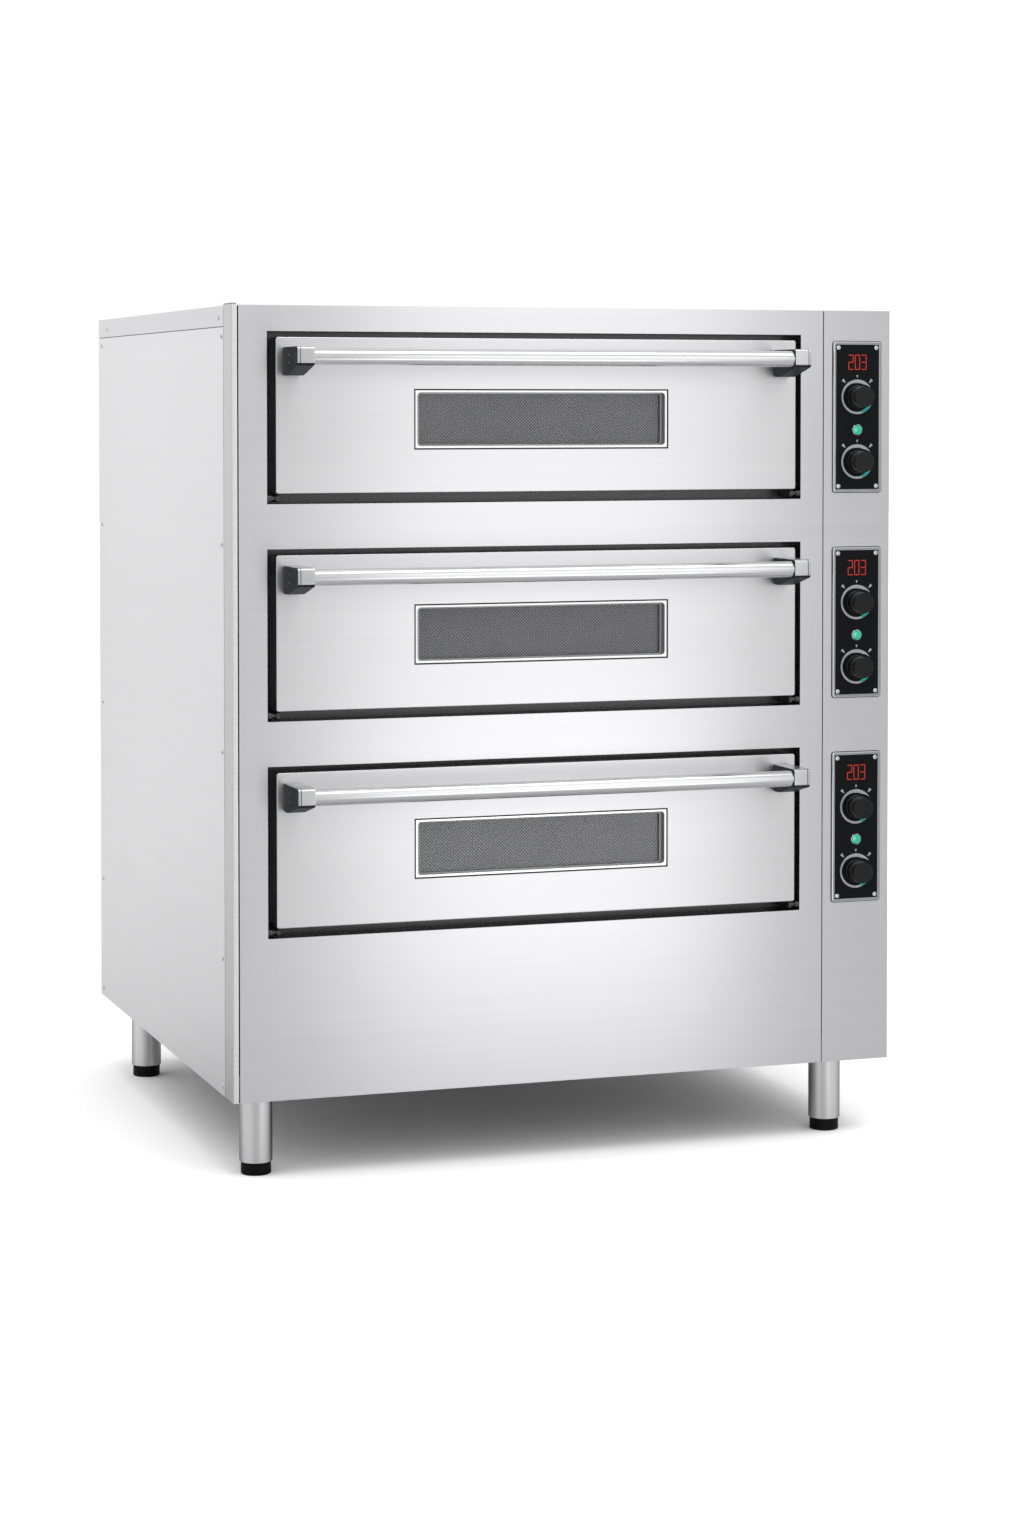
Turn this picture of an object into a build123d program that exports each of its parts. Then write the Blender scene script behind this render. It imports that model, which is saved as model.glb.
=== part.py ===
from build123d import *
import os

# A three-deck electric bakery oven on four legs, as an assembly of separate pieces.
# Millimetres. +Z is up, +X is to the right of someone who faces the doors, +Y runs to the back.
# The origin is on the floor, at the centre of the footprint's bounding box.

os.makedirs("parts", exist_ok=True)

# ---------------------------------------------------------------------------------------------
# Driving dimensions
# ---------------------------------------------------------------------------------------------

# Casing
body_width = 1217.0
body_depth = 1092.0
leg_height = 136.0
sheet = 1.5  # thickness of every casing sheet
seam_gap = 1.5  # open seam between two casing sheets
column_width = 131.0  # control column, at the right of the fascia
plinth_height = 277.0  # blank fascia under the lowest opening
deck_gap = 76.5  # fascia between two openings
top_margin = 44.0  # fascia over the top opening
left_margin = 61.0  # from the left side to the openings
right_margin = 44.0  # from the openings to the control column
roof_flange = 35.0  # the roof's turned-down sides
return_depth = 15.0  # folded edges of the fascia and the column
bend_radius = 4.0

# Corner post at the left, and the column's return at the right
post_depth = 57.0
post_face = 8.0
post_seam = 3.5
post_overtop = 3.0

# Openings and the black door frames in them
opening_height = 292.0
frame_sheet = 2.0
frame_flange = 12.0
boss_radius = 6.0
boss_length = 8.0

# Doors
door_side_gap = 13.5
door_top_gap = 10.0
door_bottom_gap = 18.0
door_proud = 8.0
door_depth = 54.0
seat_gap = 2.0  # between the closed door and its seat
door_sheet = 1.5
door_corner = 4.0
skin_depth = 30.0
liner_start = 12.0  # the liner's front edge, behind the door's face
nest_gap = 0.5  # between the skin and the liner inside it
hinge_set_back = 6.0  # hinge axis behind the fascia's face
hinge_drop = 8.0  # hinge axis below the door's lower edge
pin_radius = 4.0
pin_clearance = 0.05
pin_end_gap = 0.5
arm_radius = 7.0
arm_thickness = 6.0
arm_gap = 0.5  # between the arm and the skin above it

# Windows
window_width = 467.0  # hole in the door's skin
window_height = 104.0
window_drop = 7.0  # window centre below the door's centre
seal_groove = 2.0  # between the skin's edge and the frame's lip
window_lip = 4.5
lip_set_back = 0.4  # behind the door's face
lip_edge = 0.8
lip_corner = 6.0
frame_lap = 4.0  # flange behind the skin
window_sheet = 1.5
ledge_depth = 11.0  # behind the door's face
ledge_wide = 5.0  # at the window's ends
ledge_high = 2.0  # over and under it
sleeve_gap = 0.5
glass_thickness = 4.0
glass_gap = 0.4
inner_glass_recess = 46.0
screen_thickness = 0.8
screen_space = 2.0  # from the outer pane to the screen

# Handles
bar_radius = 14.0
bar_wall = 1.5
bar_reach = 79.0  # bar centre in front of the door's face
bar_drop = 34.0  # bar centre below the door's upper edge
bracket_inset = 12.0  # from the door's side to the bracket
bracket_width = 30.0
bracket_wall = 3.0  # over the bar
bracket_nose_wall = 2.0  # in front of the bar
bracket_flare = 17.0  # how much taller it is at the door than at its nose
bracket_step = 25.0  # where its underside starts to slope
bracket_chamfer = 3.0
socket_depth = 20.0
socket_gap = 0.2
socket_end_gap = 1.0

# Baking chambers
mouth_margin = 40.5  # from an opening's side to the chamber's side
mouth_top_drop = 36.0  # chamber ceiling below the opening's top
hearth_rise = 86.0  # hearth surface above the opening's lower edge
heater_space = 55.0  # from the hearth surface down to the chamber floor
liner_sheet = 1.5
rear_space = 102.0  # between the rear insulation and the casing's back
side_insulation = 45.5
rear_insulation = 58.0
top_insulation = 34.0
floor_insulation = 53.5
insulation_start = 2.5  # behind the seat's back face
stone_thickness = 20.0
stone_gap = 1.0
ledge_width = 25.0
ledge_thickness = 3.0
rail_width = 30.0
rail_thickness = 8.0

# Heating elements
element_radius = 4.0
element_bend = 40.0
element_inset = 20.0  # from the far wall of the chamber to the bend
elements_per_level = 3
upper_element_drop = 12.0  # below the ceiling
lower_element_rise = 13.0  # above the chamber floor
element_tail = 14.0  # terminal length in the wiring space
element_hole_gap = 0.5

# Oven lamps
lamp_holder_radius = 20.0
lamp_dome_radius = 18.0
lamp_dome_reach = 12.0
lamp_flange_radius = 26.0
lamp_flange = 1.5
lamp_depth = 75.0  # behind the seat
lamp_drop = 50.0  # below the ceiling
lamp_gap = 0.5
lamp_dome_edge = 4.0

# Flue spigots
spigot_radius = 30.0
spigot_wall = 1.5
spigot_reach = 40.0
spigot_flange_radius = 45.0
spigot_drop = 50.0  # below the ceiling

# Welded frame
rail_height = 40.0
frame_wall = 3.0
frame_rail_flange = 40.0
upright_set_back = 60.0  # of the front uprights, behind the fascia
cradle_height = 20.0
wall_inset = 34.0  # partition wall, to the left of the control column's seam

# Legs and feet
leg_left = 56.0
leg_right = 95.0
leg_front = 68.0
leg_back = 162.0
leg_radius = 28.5
leg_wall = 2.0
leg_plate = 100.0
leg_plate_thickness = 5.0
foot_gap = 0.5  # between the foot and the inside of the tube
foot_show = 22.0  # black foot below the tube's end
foot_inside = 13.0
stem_radius = 6.0
stem_top = 124.0
stem_clearance = 0.05
bush_bottom = 68.0
bush_height = 16.0
foot_edge = 1.5

# Control panels, measured from each panel's centre
bezel_width = 95.0
bezel_height = 270.0
bezel_rim = 5.5
bezel_thickness = 3.5
bezel_corner = 5.0
bezel_edge = 1.0
plate_gap = 0.2
plate_thickness = 2.0
cutout_width = 68.0
cutout_height = 236.0
display_width = 39.0
display_height = 30.0
display_rise = 98.0
display_depth = 16.0
display_proud = 0.3
upper_knob_rise = 36.0
lower_knob_rise = -80.0
lamp_rise = -23.0
pilot_radius = 8.0
pilot_rim_radius = 10.0
pilot_rim = 1.5
pilot_dome = 3.0
pilot_dome_round = 2.5
pilot_body_radius = 7.0
pilot_body_depth = 22.0
plate_screw_x = 37.0
plate_screw_z = 124.0
fit_gap = 0.2  # around the parts that sit in the plate's holes

# Knobs and the regulators behind them
knob_radius = 21.0
knob_height = 32.0
knob_skirt = 4.0
knob_grip_radius = 19.5
knob_taper = 1.5  # degrees
knob_lift = 0.6
knob_edge = 1.0
shaft_radius = 3.0
shaft_clearance = 0.05
shaft_hole_radius = 4.0
shaft_length = 16.0
regulator_bush_radius = 5.0
regulator_bush = 8.0
regulator_width = 36.0
regulator_height = 44.0
regulator_depth = 40.0
regulator_bore = 18.0

# Screws
screw_head_radius = 4.0
screw_head = 1.5
shank_radius = 1.7
shank_length = 8.0
shank_gap = 0.25
side_screw_front = 73.0
side_screw_back = 27.0
roof_screw_front = 92.0
roof_screw_back = 76.0
roof_screw_drop = 20.0
edge_screw_bottom = 16.0
edge_screw_second = 236.0
edge_screw_top = 52.0
edge_screw_rows = 4  # above the lowest screw
back_screw_inset = 20.0

# Cooling louvres in the right side
louvre_length = 90.0
louvre_height = 5.0
louvre_pitch = 16.0
louvre_rows = 10
louvre_columns = 3
louvre_column_pitch = 120.0
louvre_low = 300.0  # lower bank's centre above the body's underside
louvre_high = 300.0  # upper bank's centre below the roof

# Mains gland and switchgear
gland_inset = 65.0
gland_rise = 110.0
gland_flange_radius = 14.0
gland_flange = 12.0
gland_thread_radius = 10.0
gland_thread = 22.0
gland_bore_radius = 8.0
gland_nut_radius = 15.0
gland_nut = 6.0
gland_gap = 0.3
contactor_count = 3
contactor_width = 45.0
contactor_height = 85.0
contactor_reach = 90.0
contactor_pitch = 55.0
contactor_rise = 130.0
contactor_depth = 520.0
contactor_edge = 6.0

# ---------------------------------------------------------------------------------------------
# Sizes and places that follow from them
# ---------------------------------------------------------------------------------------------

deck_names = ("lower", "middle", "upper")
deck_pitch = opening_height + deck_gap
body_height = (
    plinth_height + len(deck_names) * opening_height + (len(deck_names) - 1) * deck_gap + top_margin
)
left = -body_width / 2
right = body_width / 2
bracket_drop = bar_drop - bar_radius - bracket_wall  # its top below the door's upper edge
bracket_nose = 2 * bar_radius + bracket_wall
bracket_height = bracket_nose + bracket_flare
bracket_reach = bar_reach + bar_radius + bracket_nose_wall
front = (door_proud + bracket_reach - spigot_reach - body_depth) / 2
back = front + body_depth
under = leg_height
roof = leg_height + body_height
seam_x = right - column_width
opening_left = left + left_margin
opening_right = seam_x - right_margin
opening_width = opening_right - opening_left
opening_x = (opening_left + opening_right) / 2
first_centre = under + plinth_height + opening_height / 2
deck_centres = [first_centre + n * deck_pitch for n in range(len(deck_names))]

door_width = opening_width - 2 * door_side_gap
door_height = opening_height - door_top_gap - door_bottom_gap
door_rise = (door_bottom_gap - door_top_gap) / 2  # door centre above the opening's centre
hinge_rise = door_rise - door_height / 2 - hinge_drop
door_rear = door_depth - door_proud  # the liner's back face, behind the fascia's face
recess = door_rear + seat_gap  # the seat that the door closes on
window_rise = door_rise - window_drop
lip_width = window_width - 2 * seal_groove
lip_height = window_height - 2 * seal_groove
bore_width = lip_width - 2 * window_lip
bore_height = lip_height - 2 * window_lip
sleeve_width = bore_width + 2 * window_sheet
sleeve_height = bore_height + 2 * window_sheet
flange_width = window_width + 2 * frame_lap
flange_height = window_height + 2 * frame_lap
outer_glass_recess = ledge_depth + window_sheet

seat_back = recess + frame_sheet
chamber_half = opening_width / 2 - mouth_margin
ceiling = opening_height / 2 - mouth_top_drop
hearth = -opening_height / 2 + hearth_rise
chamber_floor = hearth - heater_space
chamber_back = body_depth - rear_space - rear_insulation
chamber_depth = chamber_back - seat_back
insulation_half = chamber_half + liner_sheet + side_insulation
wall_x = seam_x - wall_inset

base_z = under + sheet + leg_plate_thickness
base_top = base_z + rail_height
top_rail_z = roof - sheet - rail_height
middle_y = front + body_depth / 2
foot_radius = leg_radius - leg_wall - foot_gap
inner_width = body_width - 2 * sheet
inner_depth = body_depth - 2 * sheet

leg_places = [
    (x, y) for x in (left + leg_left, right - leg_right) for y in (front + leg_front, back - leg_back)
]
foot_names = ("front_left", "rear_left", "front_right", "rear_right")
panel_x = (seam_x + right) / 2
element_pitch = chamber_depth / elements_per_level
element_depths = [seat_back + (n + 0.5) * element_pitch for n in range(elements_per_level)]
row_step = (body_height - edge_screw_top - edge_screw_second) / (edge_screw_rows - 1)
edge_heights = [under + edge_screw_bottom]
edge_heights += [under + edge_screw_second + n * row_step for n in range(edge_screw_rows)]
side_screws = [
    (y, z) for y in (front + side_screw_front, back - side_screw_back) for z in edge_heights
]
roof_screws = [
    (y, roof - roof_screw_drop) for y in (front + roof_screw_front, back - roof_screw_back)
]
back_screws = [
    (x, z) for x in (left + back_screw_inset, right - back_screw_inset) for z in edge_heights
]
plate_screws = [
    (panel_x + x, z + rise)
    for z in deck_centres
    for x in (-plate_screw_x, plate_screw_x)
    for rise in (-plate_screw_z, plate_screw_z)
]
gland_place = (right - gland_inset, under + gland_rise)


def upright_plane(depth):
    """The upright plane, facing the front, that lies this far behind the fascia's face."""
    return Plane.XZ.offset(-(front + depth))


def block(x, y, z, mode=Mode.ADD):
    """A box between low and high values of x, y and z, in the part being built."""
    with Locations(((x[0] + x[1]) / 2, (y[0] + y[1]) / 2, (z[0] + z[1]) / 2)):
        Box(x[1] - x[0], y[1] - y[0], z[1] - z[0], mode=mode)


def around(centre, half):
    """The low and high values of a span about a centre."""
    return (centre - half, centre + half)


def depths(near, far):
    """World Y of two depths behind the fascia's face."""
    return (front + near, front + far)


def holes_along_x(places, x, length, radius):
    """Round holes along +X from x, at (y, z) places."""
    with BuildSketch(Plane.YZ.offset(x)) as rounds:
        with Locations(*places):
            Circle(radius)
    extrude(rounds.sketch, amount=length, mode=Mode.SUBTRACT)


def holes_along_y(places, depth, length, radius):
    """Round holes towards the back from a depth behind the fascia, at (x, z) places."""
    with BuildSketch(upright_plane(depth)) as rounds:
        with Locations(*places):
            Circle(radius)
    extrude(rounds.sketch, amount=-length, mode=Mode.SUBTRACT)


def bend_relief(z):
    """Cut away the corner that the control column's bend takes, between two heights."""
    block(
        (right - sheet - bend_radius, right), (front, front + sheet + bend_radius), z, mode=Mode.SUBTRACT
    )


def save(builder, name):
    """Label a finished piece and write it."""
    builder.part.label = name
    export_step(builder.part, f"parts/{name}.step")


# ---------------------------------------------------------------------------------------------
# Frame, legs and feet
# ---------------------------------------------------------------------------------------------

# Base ring and top ring of folded channel, uprights, a cross member and cradles for the chambers.
with BuildPart() as welded_frame:
    with BuildSketch(Plane.XY.offset(base_z)):
        with Locations((0, middle_y)):
            Rectangle(inner_width, inner_depth)
            Rectangle(inner_width - 2 * frame_wall, inner_depth - 2 * frame_wall, mode=Mode.SUBTRACT)
    extrude(amount=rail_height)
    for z in (base_z, base_top - frame_wall):
        with BuildSketch(Plane.XY.offset(z)):
            with Locations((0, middle_y)):
                Rectangle(inner_width, inner_depth)
                Rectangle(
                    inner_width - 2 * frame_rail_flange,
                    inner_depth - 2 * frame_rail_flange,
                    mode=Mode.SUBTRACT,
                )
        extrude(amount=frame_wall)
    cross_y = back - leg_back
    block(around(0, inner_width / 2), around(cross_y, rail_height / 2), (base_z, base_top))
    block(
        around(0, inner_width / 2 - frame_wall),
        around(cross_y, rail_height / 2 - frame_wall),
        (base_z + frame_wall, base_top - frame_wall),
        mode=Mode.SUBTRACT,
    )
    for side in (-1, 1):
        outer = side * inner_width / 2
        wall = sorted((outer, outer - side * frame_wall))
        leg = sorted((outer, outer - side * frame_rail_flange))
        for near in (upright_set_back, body_depth - sheet - frame_rail_flange):
            far = near + frame_rail_flange
            face = (near, near + frame_wall) if near == upright_set_back else (far - frame_wall, far)
            block(wall, depths(near, far), (base_top, roof - sheet))
            block(leg, depths(*face), (base_top, roof - sheet))
        block(wall, depths(upright_set_back, body_depth - sheet), (top_rail_z, roof - sheet))
    for near in (upright_set_back, body_depth - sheet - frame_wall):
        far = near + frame_wall
        block(around(0, inner_width / 2), depths(near, far), (top_rail_z, roof - sheet))
    for near in (upright_set_back, body_depth - sheet - frame_rail_flange):
        mid = (wall_x + sheet, wall_x + sheet + frame_wall)
        block(mid, depths(near, near + frame_rail_flange), (base_top, roof - sheet))
    for z in deck_centres:
        shelf = z + chamber_floor - liner_sheet - floor_insulation
        for near in (upright_set_back, body_depth - sheet - frame_rail_flange - rear_space):
            cradle = (left + sheet + frame_wall, wall_x)
            block(cradle, depths(near, near + frame_rail_flange), (shelf - frame_wall, shelf))
            block(cradle, depths(near, near + frame_wall), (shelf - cradle_height, shelf))
        block(
            (left + sheet + frame_wall, left + sheet + 2 * frame_wall),
            depths(upright_set_back, body_depth - sheet - frame_wall),
            (shelf - cradle_height, shelf - frame_wall),
        )
    for x in (left, right - shank_length):
        holes_along_x(side_screws + roof_screws, x, shank_length, shank_radius + shank_gap)
    holes_along_y(back_screws, body_depth - shank_length, shank_length, shank_radius + shank_gap)
    bend_relief((base_z, base_top))
save(welded_frame, "welded_frame")

# Each leg: tube, threaded bush for the foot's stem, and a square plate under the base ring.
with BuildPart() as leg_tubes:
    with BuildSketch(Plane.XY.offset(foot_show)):
        with Locations(*leg_places):
            Circle(leg_radius)
            Circle(leg_radius - leg_wall, mode=Mode.SUBTRACT)
    extrude(amount=under + sheet - foot_show)
    with BuildSketch(Plane.XY.offset(bush_bottom)):
        with Locations(*leg_places):
            Circle(leg_radius - leg_wall / 2)
            Circle(stem_radius + stem_clearance, mode=Mode.SUBTRACT)
    extrude(amount=bush_height)
    with BuildSketch(Plane.XY.offset(under + sheet)):
        with Locations(*leg_places):
            Rectangle(leg_plate, leg_plate)
    extrude(amount=leg_plate_thickness)
save(leg_tubes, "leg_tubes")

# Each levelling foot: a black plastic cup on a steel stem that screws into the bush.
for name, place in zip(foot_names, leg_places):
    with BuildPart() as foot:
        with BuildSketch():
            with Locations(place):
                Circle(foot_radius)
        extrude(amount=foot_show + foot_inside)
        chamfer(foot.edges().group_by(Axis.Z)[0], length=foot_edge)
        with BuildSketch(Plane.XY.offset(foot_show + foot_inside)):
            with Locations(place):
                Circle(stem_radius)
        extrude(amount=stem_top - foot_show - foot_inside)
    save(foot, f"levelling_foot_{name}")

# ---------------------------------------------------------------------------------------------
# Casing
# ---------------------------------------------------------------------------------------------

with BuildPart() as bottom_panel:
    with BuildSketch(Plane.XY.offset(under)):
        with Locations((0, middle_y)):
            Rectangle(inner_width, inner_depth)
        with Locations(*leg_places):
            Circle(leg_radius + seam_gap, mode=Mode.SUBTRACT)
    extrude(amount=sheet)
    bend_relief((under, under + sheet))
save(bottom_panel, "bottom_panel")

# The fascia with its three openings, folded back at both edges.
fascia_left = left + post_face + post_seam
fascia_right = seam_x - seam_gap / 2
with BuildPart() as front_fascia:
    block((fascia_left, fascia_right), depths(0, sheet), (under, roof))
    for edge in ((fascia_left, fascia_left + sheet), (fascia_right - sheet, fascia_right)):
        block(edge, depths(0, return_depth), (base_top + seam_gap, top_rail_z))
    with BuildSketch(upright_plane(0)):
        with Locations(*[(opening_x, z) for z in deck_centres]):
            Rectangle(opening_width, opening_height)
    extrude(amount=-sheet, mode=Mode.SUBTRACT)
save(front_fascia, "front_fascia")

# The control column's front, bent round the right-hand corner.
column_left = seam_x + seam_gap / 2
with BuildPart() as control_column_front:
    with BuildSketch(Plane.XY.offset(under)) as plan:
        with BuildLine():
            Polyline(
                (column_left, front),
                (right, front),
                (right, front + post_depth),
                (right - sheet, front + post_depth),
                (right - sheet, front + sheet),
                (column_left, front + sheet),
                close=True,
            )
        make_face()
        fillet(plan.vertices().filter_by(lambda v: v.X == right and v.Y == front), bend_radius)
        inner_corner = plan.vertices().filter_by(
            lambda v: abs(v.X - right + sheet) < 1e-6 and abs(v.Y - front - sheet) < 1e-6
        )
        fillet(inner_corner, bend_radius - sheet)
    extrude(amount=roof - under)
    block(
        (column_left, column_left + sheet), depths(0, return_depth), (base_top + seam_gap, top_rail_z)
    )
    with BuildSketch(upright_plane(0)):
        with Locations(*[(panel_x, z) for z in deck_centres]):
            Rectangle(cutout_width, cutout_height)
        with Locations(*plate_screws):
            Circle(shank_radius + shank_gap)
    extrude(amount=-sheet, mode=Mode.SUBTRACT)
save(control_column_front, "control_column_front")

# The corner post: a narrow front face and a wider side, standing just over the roof.
with BuildPart() as corner_post:
    with BuildSketch(Plane.XY.offset(under)) as plan:
        with BuildLine():
            Polyline(
                (left, front),
                (left + post_face, front),
                (left + post_face, front + sheet),
                (left + sheet, front + sheet),
                (left + sheet, front + post_depth),
                (left, front + post_depth),
                close=True,
            )
        make_face()
        fillet(plan.vertices().filter_by(lambda v: v.X == left and v.Y == front), sheet)
    extrude(amount=roof + post_overtop - under)
save(corner_post, "corner_post")

panel_top = roof - roof_flange - seam_gap
panel_front = front + post_depth + seam_gap
with BuildPart() as left_side_panel:
    block((left, left + sheet), (panel_front, back), (under, panel_top))
    holes_along_x(side_screws, left, sheet, shank_radius + shank_gap)
save(left_side_panel, "left_side_panel")

# The right side cools the wiring space, so it has two banks of louvre slots.
with BuildPart() as right_side_panel:
    block((right - sheet, right), (panel_front, back), (under, panel_top))
    holes_along_x(side_screws, right - sheet, sheet, shank_radius + shank_gap)
    with BuildSketch(Plane.YZ.offset(right - sheet)):
        with Locations((middle_y, under + louvre_low), (middle_y, roof - louvre_high)):
            with GridLocations(louvre_column_pitch, louvre_pitch, louvre_columns, louvre_rows):
                SlotOverall(louvre_length, louvre_height)
    extrude(amount=sheet, mode=Mode.SUBTRACT)
save(right_side_panel, "right_side_panel")

with BuildPart() as top_panel:
    block((left + sheet, right - sheet), (front + sheet, back), (roof - sheet, roof))
    for side in ((left, left + sheet), (right - sheet, right)):
        block(side, (panel_front, back), (roof - roof_flange, roof))
    for x in (left, right - sheet):
        holes_along_x(roof_screws, x, sheet, shank_radius + shank_gap)
    bend_relief((roof - sheet, roof))
save(top_panel, "top_panel")

spigot_places = [(opening_x, z + ceiling - spigot_drop) for z in deck_centres]
with BuildPart() as back_panel:
    block((left + sheet, right - sheet), (back - sheet, back), (under, roof - sheet))
    holes_along_y(spigot_places, body_depth - sheet, sheet, spigot_radius + fit_gap)
    holes_along_y(back_screws, body_depth - sheet, sheet, shank_radius + shank_gap)
    holes_along_y([gland_place], body_depth - sheet, sheet, gland_thread_radius + gland_gap)
save(back_panel, "back_panel")

# ---------------------------------------------------------------------------------------------
# Door frames and chambers
# ---------------------------------------------------------------------------------------------

# Each black frame: a flange behind the fascia, four walls, a seat round the chamber's mouth and two
# bosses that carry the door's hinge pins.
with BuildPart() as door_frames:
    for z in deck_centres:
        for grow, near, far in (
            (frame_flange, sheet, sheet + frame_sheet),
            (frame_sheet, sheet, seat_back),
        ):
            with BuildSketch(upright_plane(near)):
                with Locations((opening_x, z)):
                    Rectangle(opening_width + 2 * grow, opening_height + 2 * grow)
                    Rectangle(opening_width, opening_height, mode=Mode.SUBTRACT)
            extrude(amount=near - far)
        with BuildSketch(upright_plane(recess)):
            with Locations((opening_x, z)):
                Rectangle(opening_width, opening_height)
            with Locations((opening_x, z + (ceiling + hearth) / 2)):
                Rectangle(2 * chamber_half, ceiling - hearth, mode=Mode.SUBTRACT)
        extrude(amount=-frame_sheet)
        for x in (opening_left, opening_right - boss_length):
            with BuildSketch(Plane.YZ.offset(x)):
                with Locations((front + hinge_set_back, z + hinge_rise)):
                    Circle(boss_radius)
                    Circle(pin_radius + pin_clearance, mode=Mode.SUBTRACT)
            extrude(amount=boss_length)
save(door_frames, "door_frames")

lamp_places = [(front + seat_back + lamp_depth, z + ceiling - lamp_drop) for z in deck_centres]
element_places = [
    (front + depth + offset, z + level)
    for z in deck_centres
    for level in (ceiling - upper_element_drop, chamber_floor + lower_element_rise)
    for depth in element_depths
    for offset in (-element_bend, element_bend)
]
liner_right = opening_x + chamber_half
wall_reach = wall_x + sheet - liner_right

# Each liner: a steel box open to the front, with ledges and a centre rail for the hearth stones.
with BuildPart() as chamber_liners:
    for z in deck_centres:
        block(
            around(opening_x, chamber_half + liner_sheet),
            depths(seat_back, chamber_back + liner_sheet),
            (z + chamber_floor - liner_sheet, z + ceiling + liner_sheet),
        )
        block(
            around(opening_x, chamber_half),
            depths(seat_back, chamber_back),
            (z + chamber_floor, z + ceiling),
            mode=Mode.SUBTRACT,
        )
        stone_z = z + hearth - stone_thickness
        for side in (-1, 1):
            edge = opening_x + side * chamber_half
            ledge = sorted((edge, edge - side * ledge_width))
            block(ledge, depths(seat_back, chamber_back), (stone_z - ledge_thickness, stone_z))
        block(
            around(opening_x, rail_width / 2),
            depths(seat_back, chamber_back),
            (stone_z - rail_thickness, stone_z),
        )
    holes_along_y(spigot_places, chamber_back, liner_sheet, spigot_radius - spigot_wall)
    holes_along_x(lamp_places, liner_right, liner_sheet, lamp_holder_radius + lamp_gap)
    holes_along_x(element_places, liner_right, liner_sheet, element_radius + element_hole_gap)
save(chamber_liners, "chamber_liners")

with BuildPart() as chamber_insulation:
    for z in deck_centres:
        block(
            around(opening_x, insulation_half),
            depths(seat_back + insulation_start, chamber_back + rear_insulation),
            (
                z + chamber_floor - liner_sheet - floor_insulation,
                z + ceiling + liner_sheet + top_insulation,
            ),
        )
        block(
            around(opening_x, chamber_half + liner_sheet),
            depths(seat_back, chamber_back + liner_sheet),
            (z + chamber_floor - liner_sheet, z + ceiling + liner_sheet),
            mode=Mode.SUBTRACT,
        )
    holes_along_y(spigot_places, chamber_back, rear_insulation, spigot_radius + fit_gap)
    holes_along_x(lamp_places, liner_right, wall_reach, lamp_holder_radius + lamp_gap)
    holes_along_x(element_places, liner_right, wall_reach, element_radius + element_hole_gap)
save(chamber_insulation, "chamber_insulation")

stone_half = chamber_half / 2
with BuildPart() as hearth_stones:
    for z in deck_centres:
        for side in (-1, 1):
            block(
                around(opening_x + side * stone_half, stone_half - stone_gap),
                depths(seat_back + stone_gap, chamber_back - stone_gap),
                (z + hearth - stone_thickness, z + hearth),
            )
save(hearth_stones, "hearth_stones")

# Hairpin elements: out of the wiring space, across the chamber, round the bend and back.
with BuildPart() as heating_elements:
    for z in deck_centres:
        for level in (ceiling - upper_element_drop, chamber_floor + lower_element_rise):
            for depth in element_depths:
                bend_x = opening_x - chamber_half + element_inset + element_bend
                middle = (front + depth, z + level)
                with BuildSketch(Plane.YZ.offset(bend_x)):
                    with Locations(middle):
                        with GridLocations(2 * element_bend, 0, 2, 1):
                            Circle(element_radius)
                extrude(amount=wall_x + sheet + element_tail - bend_x)
                with BuildSketch(Plane.YZ.offset(bend_x)):
                    with Locations((middle[0] - element_bend, middle[1])):
                        Circle(element_radius)
                revolve(axis=Axis((bend_x, *middle), (0, 0, -1)), revolution_arc=180)
save(heating_elements, "heating_elements")

# Chamber lamps: a holder through the insulation, a flange inside the liner and a glass dome.
with BuildPart() as oven_lamps:
    for start, length, radius in (
        (liner_right - lamp_flange, lamp_flange, lamp_flange_radius),
        (liner_right, wall_x - liner_right, lamp_holder_radius),
        (liner_right - lamp_flange - lamp_dome_reach, lamp_dome_reach, lamp_dome_radius),
    ):
        with BuildSketch(Plane.YZ.offset(start)):
            with Locations(*lamp_places):
                Circle(radius)
        extrude(amount=length)
    chamfer(oven_lamps.edges().group_by(Axis.X)[0], length=lamp_dome_edge)
save(oven_lamps, "oven_lamps")

# Flue spigots from the chambers' backs, with a collar on the casing.
with BuildPart() as flue_spigots:
    with BuildSketch(upright_plane(chamber_back + liner_sheet)):
        with Locations(*spigot_places):
            Circle(spigot_radius)
            Circle(spigot_radius - spigot_wall, mode=Mode.SUBTRACT)
    extrude(amount=-(body_depth + spigot_reach - chamber_back - liner_sheet))
    with BuildSketch(upright_plane(body_depth)):
        with Locations(*spigot_places):
            Circle(spigot_flange_radius)
            Circle(spigot_radius - spigot_wall, mode=Mode.SUBTRACT)
    extrude(amount=-spigot_wall)
save(flue_spigots, "flue_spigots")

# ---------------------------------------------------------------------------------------------
# Wiring space
# ---------------------------------------------------------------------------------------------

with BuildPart() as partition_wall:
    block(
        (wall_x, wall_x + sheet), depths(upright_set_back, body_depth - sheet), (base_top, top_rail_z)
    )
    holes_along_x(element_places, wall_x, sheet, element_radius + element_hole_gap)
save(partition_wall, "partition_wall")

with BuildPart() as contactors:
    for n in range(contactor_count):
        block(
            (wall_x + sheet, wall_x + sheet + contactor_reach),
            around(front + contactor_depth + n * contactor_pitch, contactor_width / 2),
            (under + contactor_rise, under + contactor_rise + contactor_height),
        )
    chamfer(contactors.edges().group_by(Axis.X)[-1], length=contactor_edge)
save(contactors, "contactors")

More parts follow.
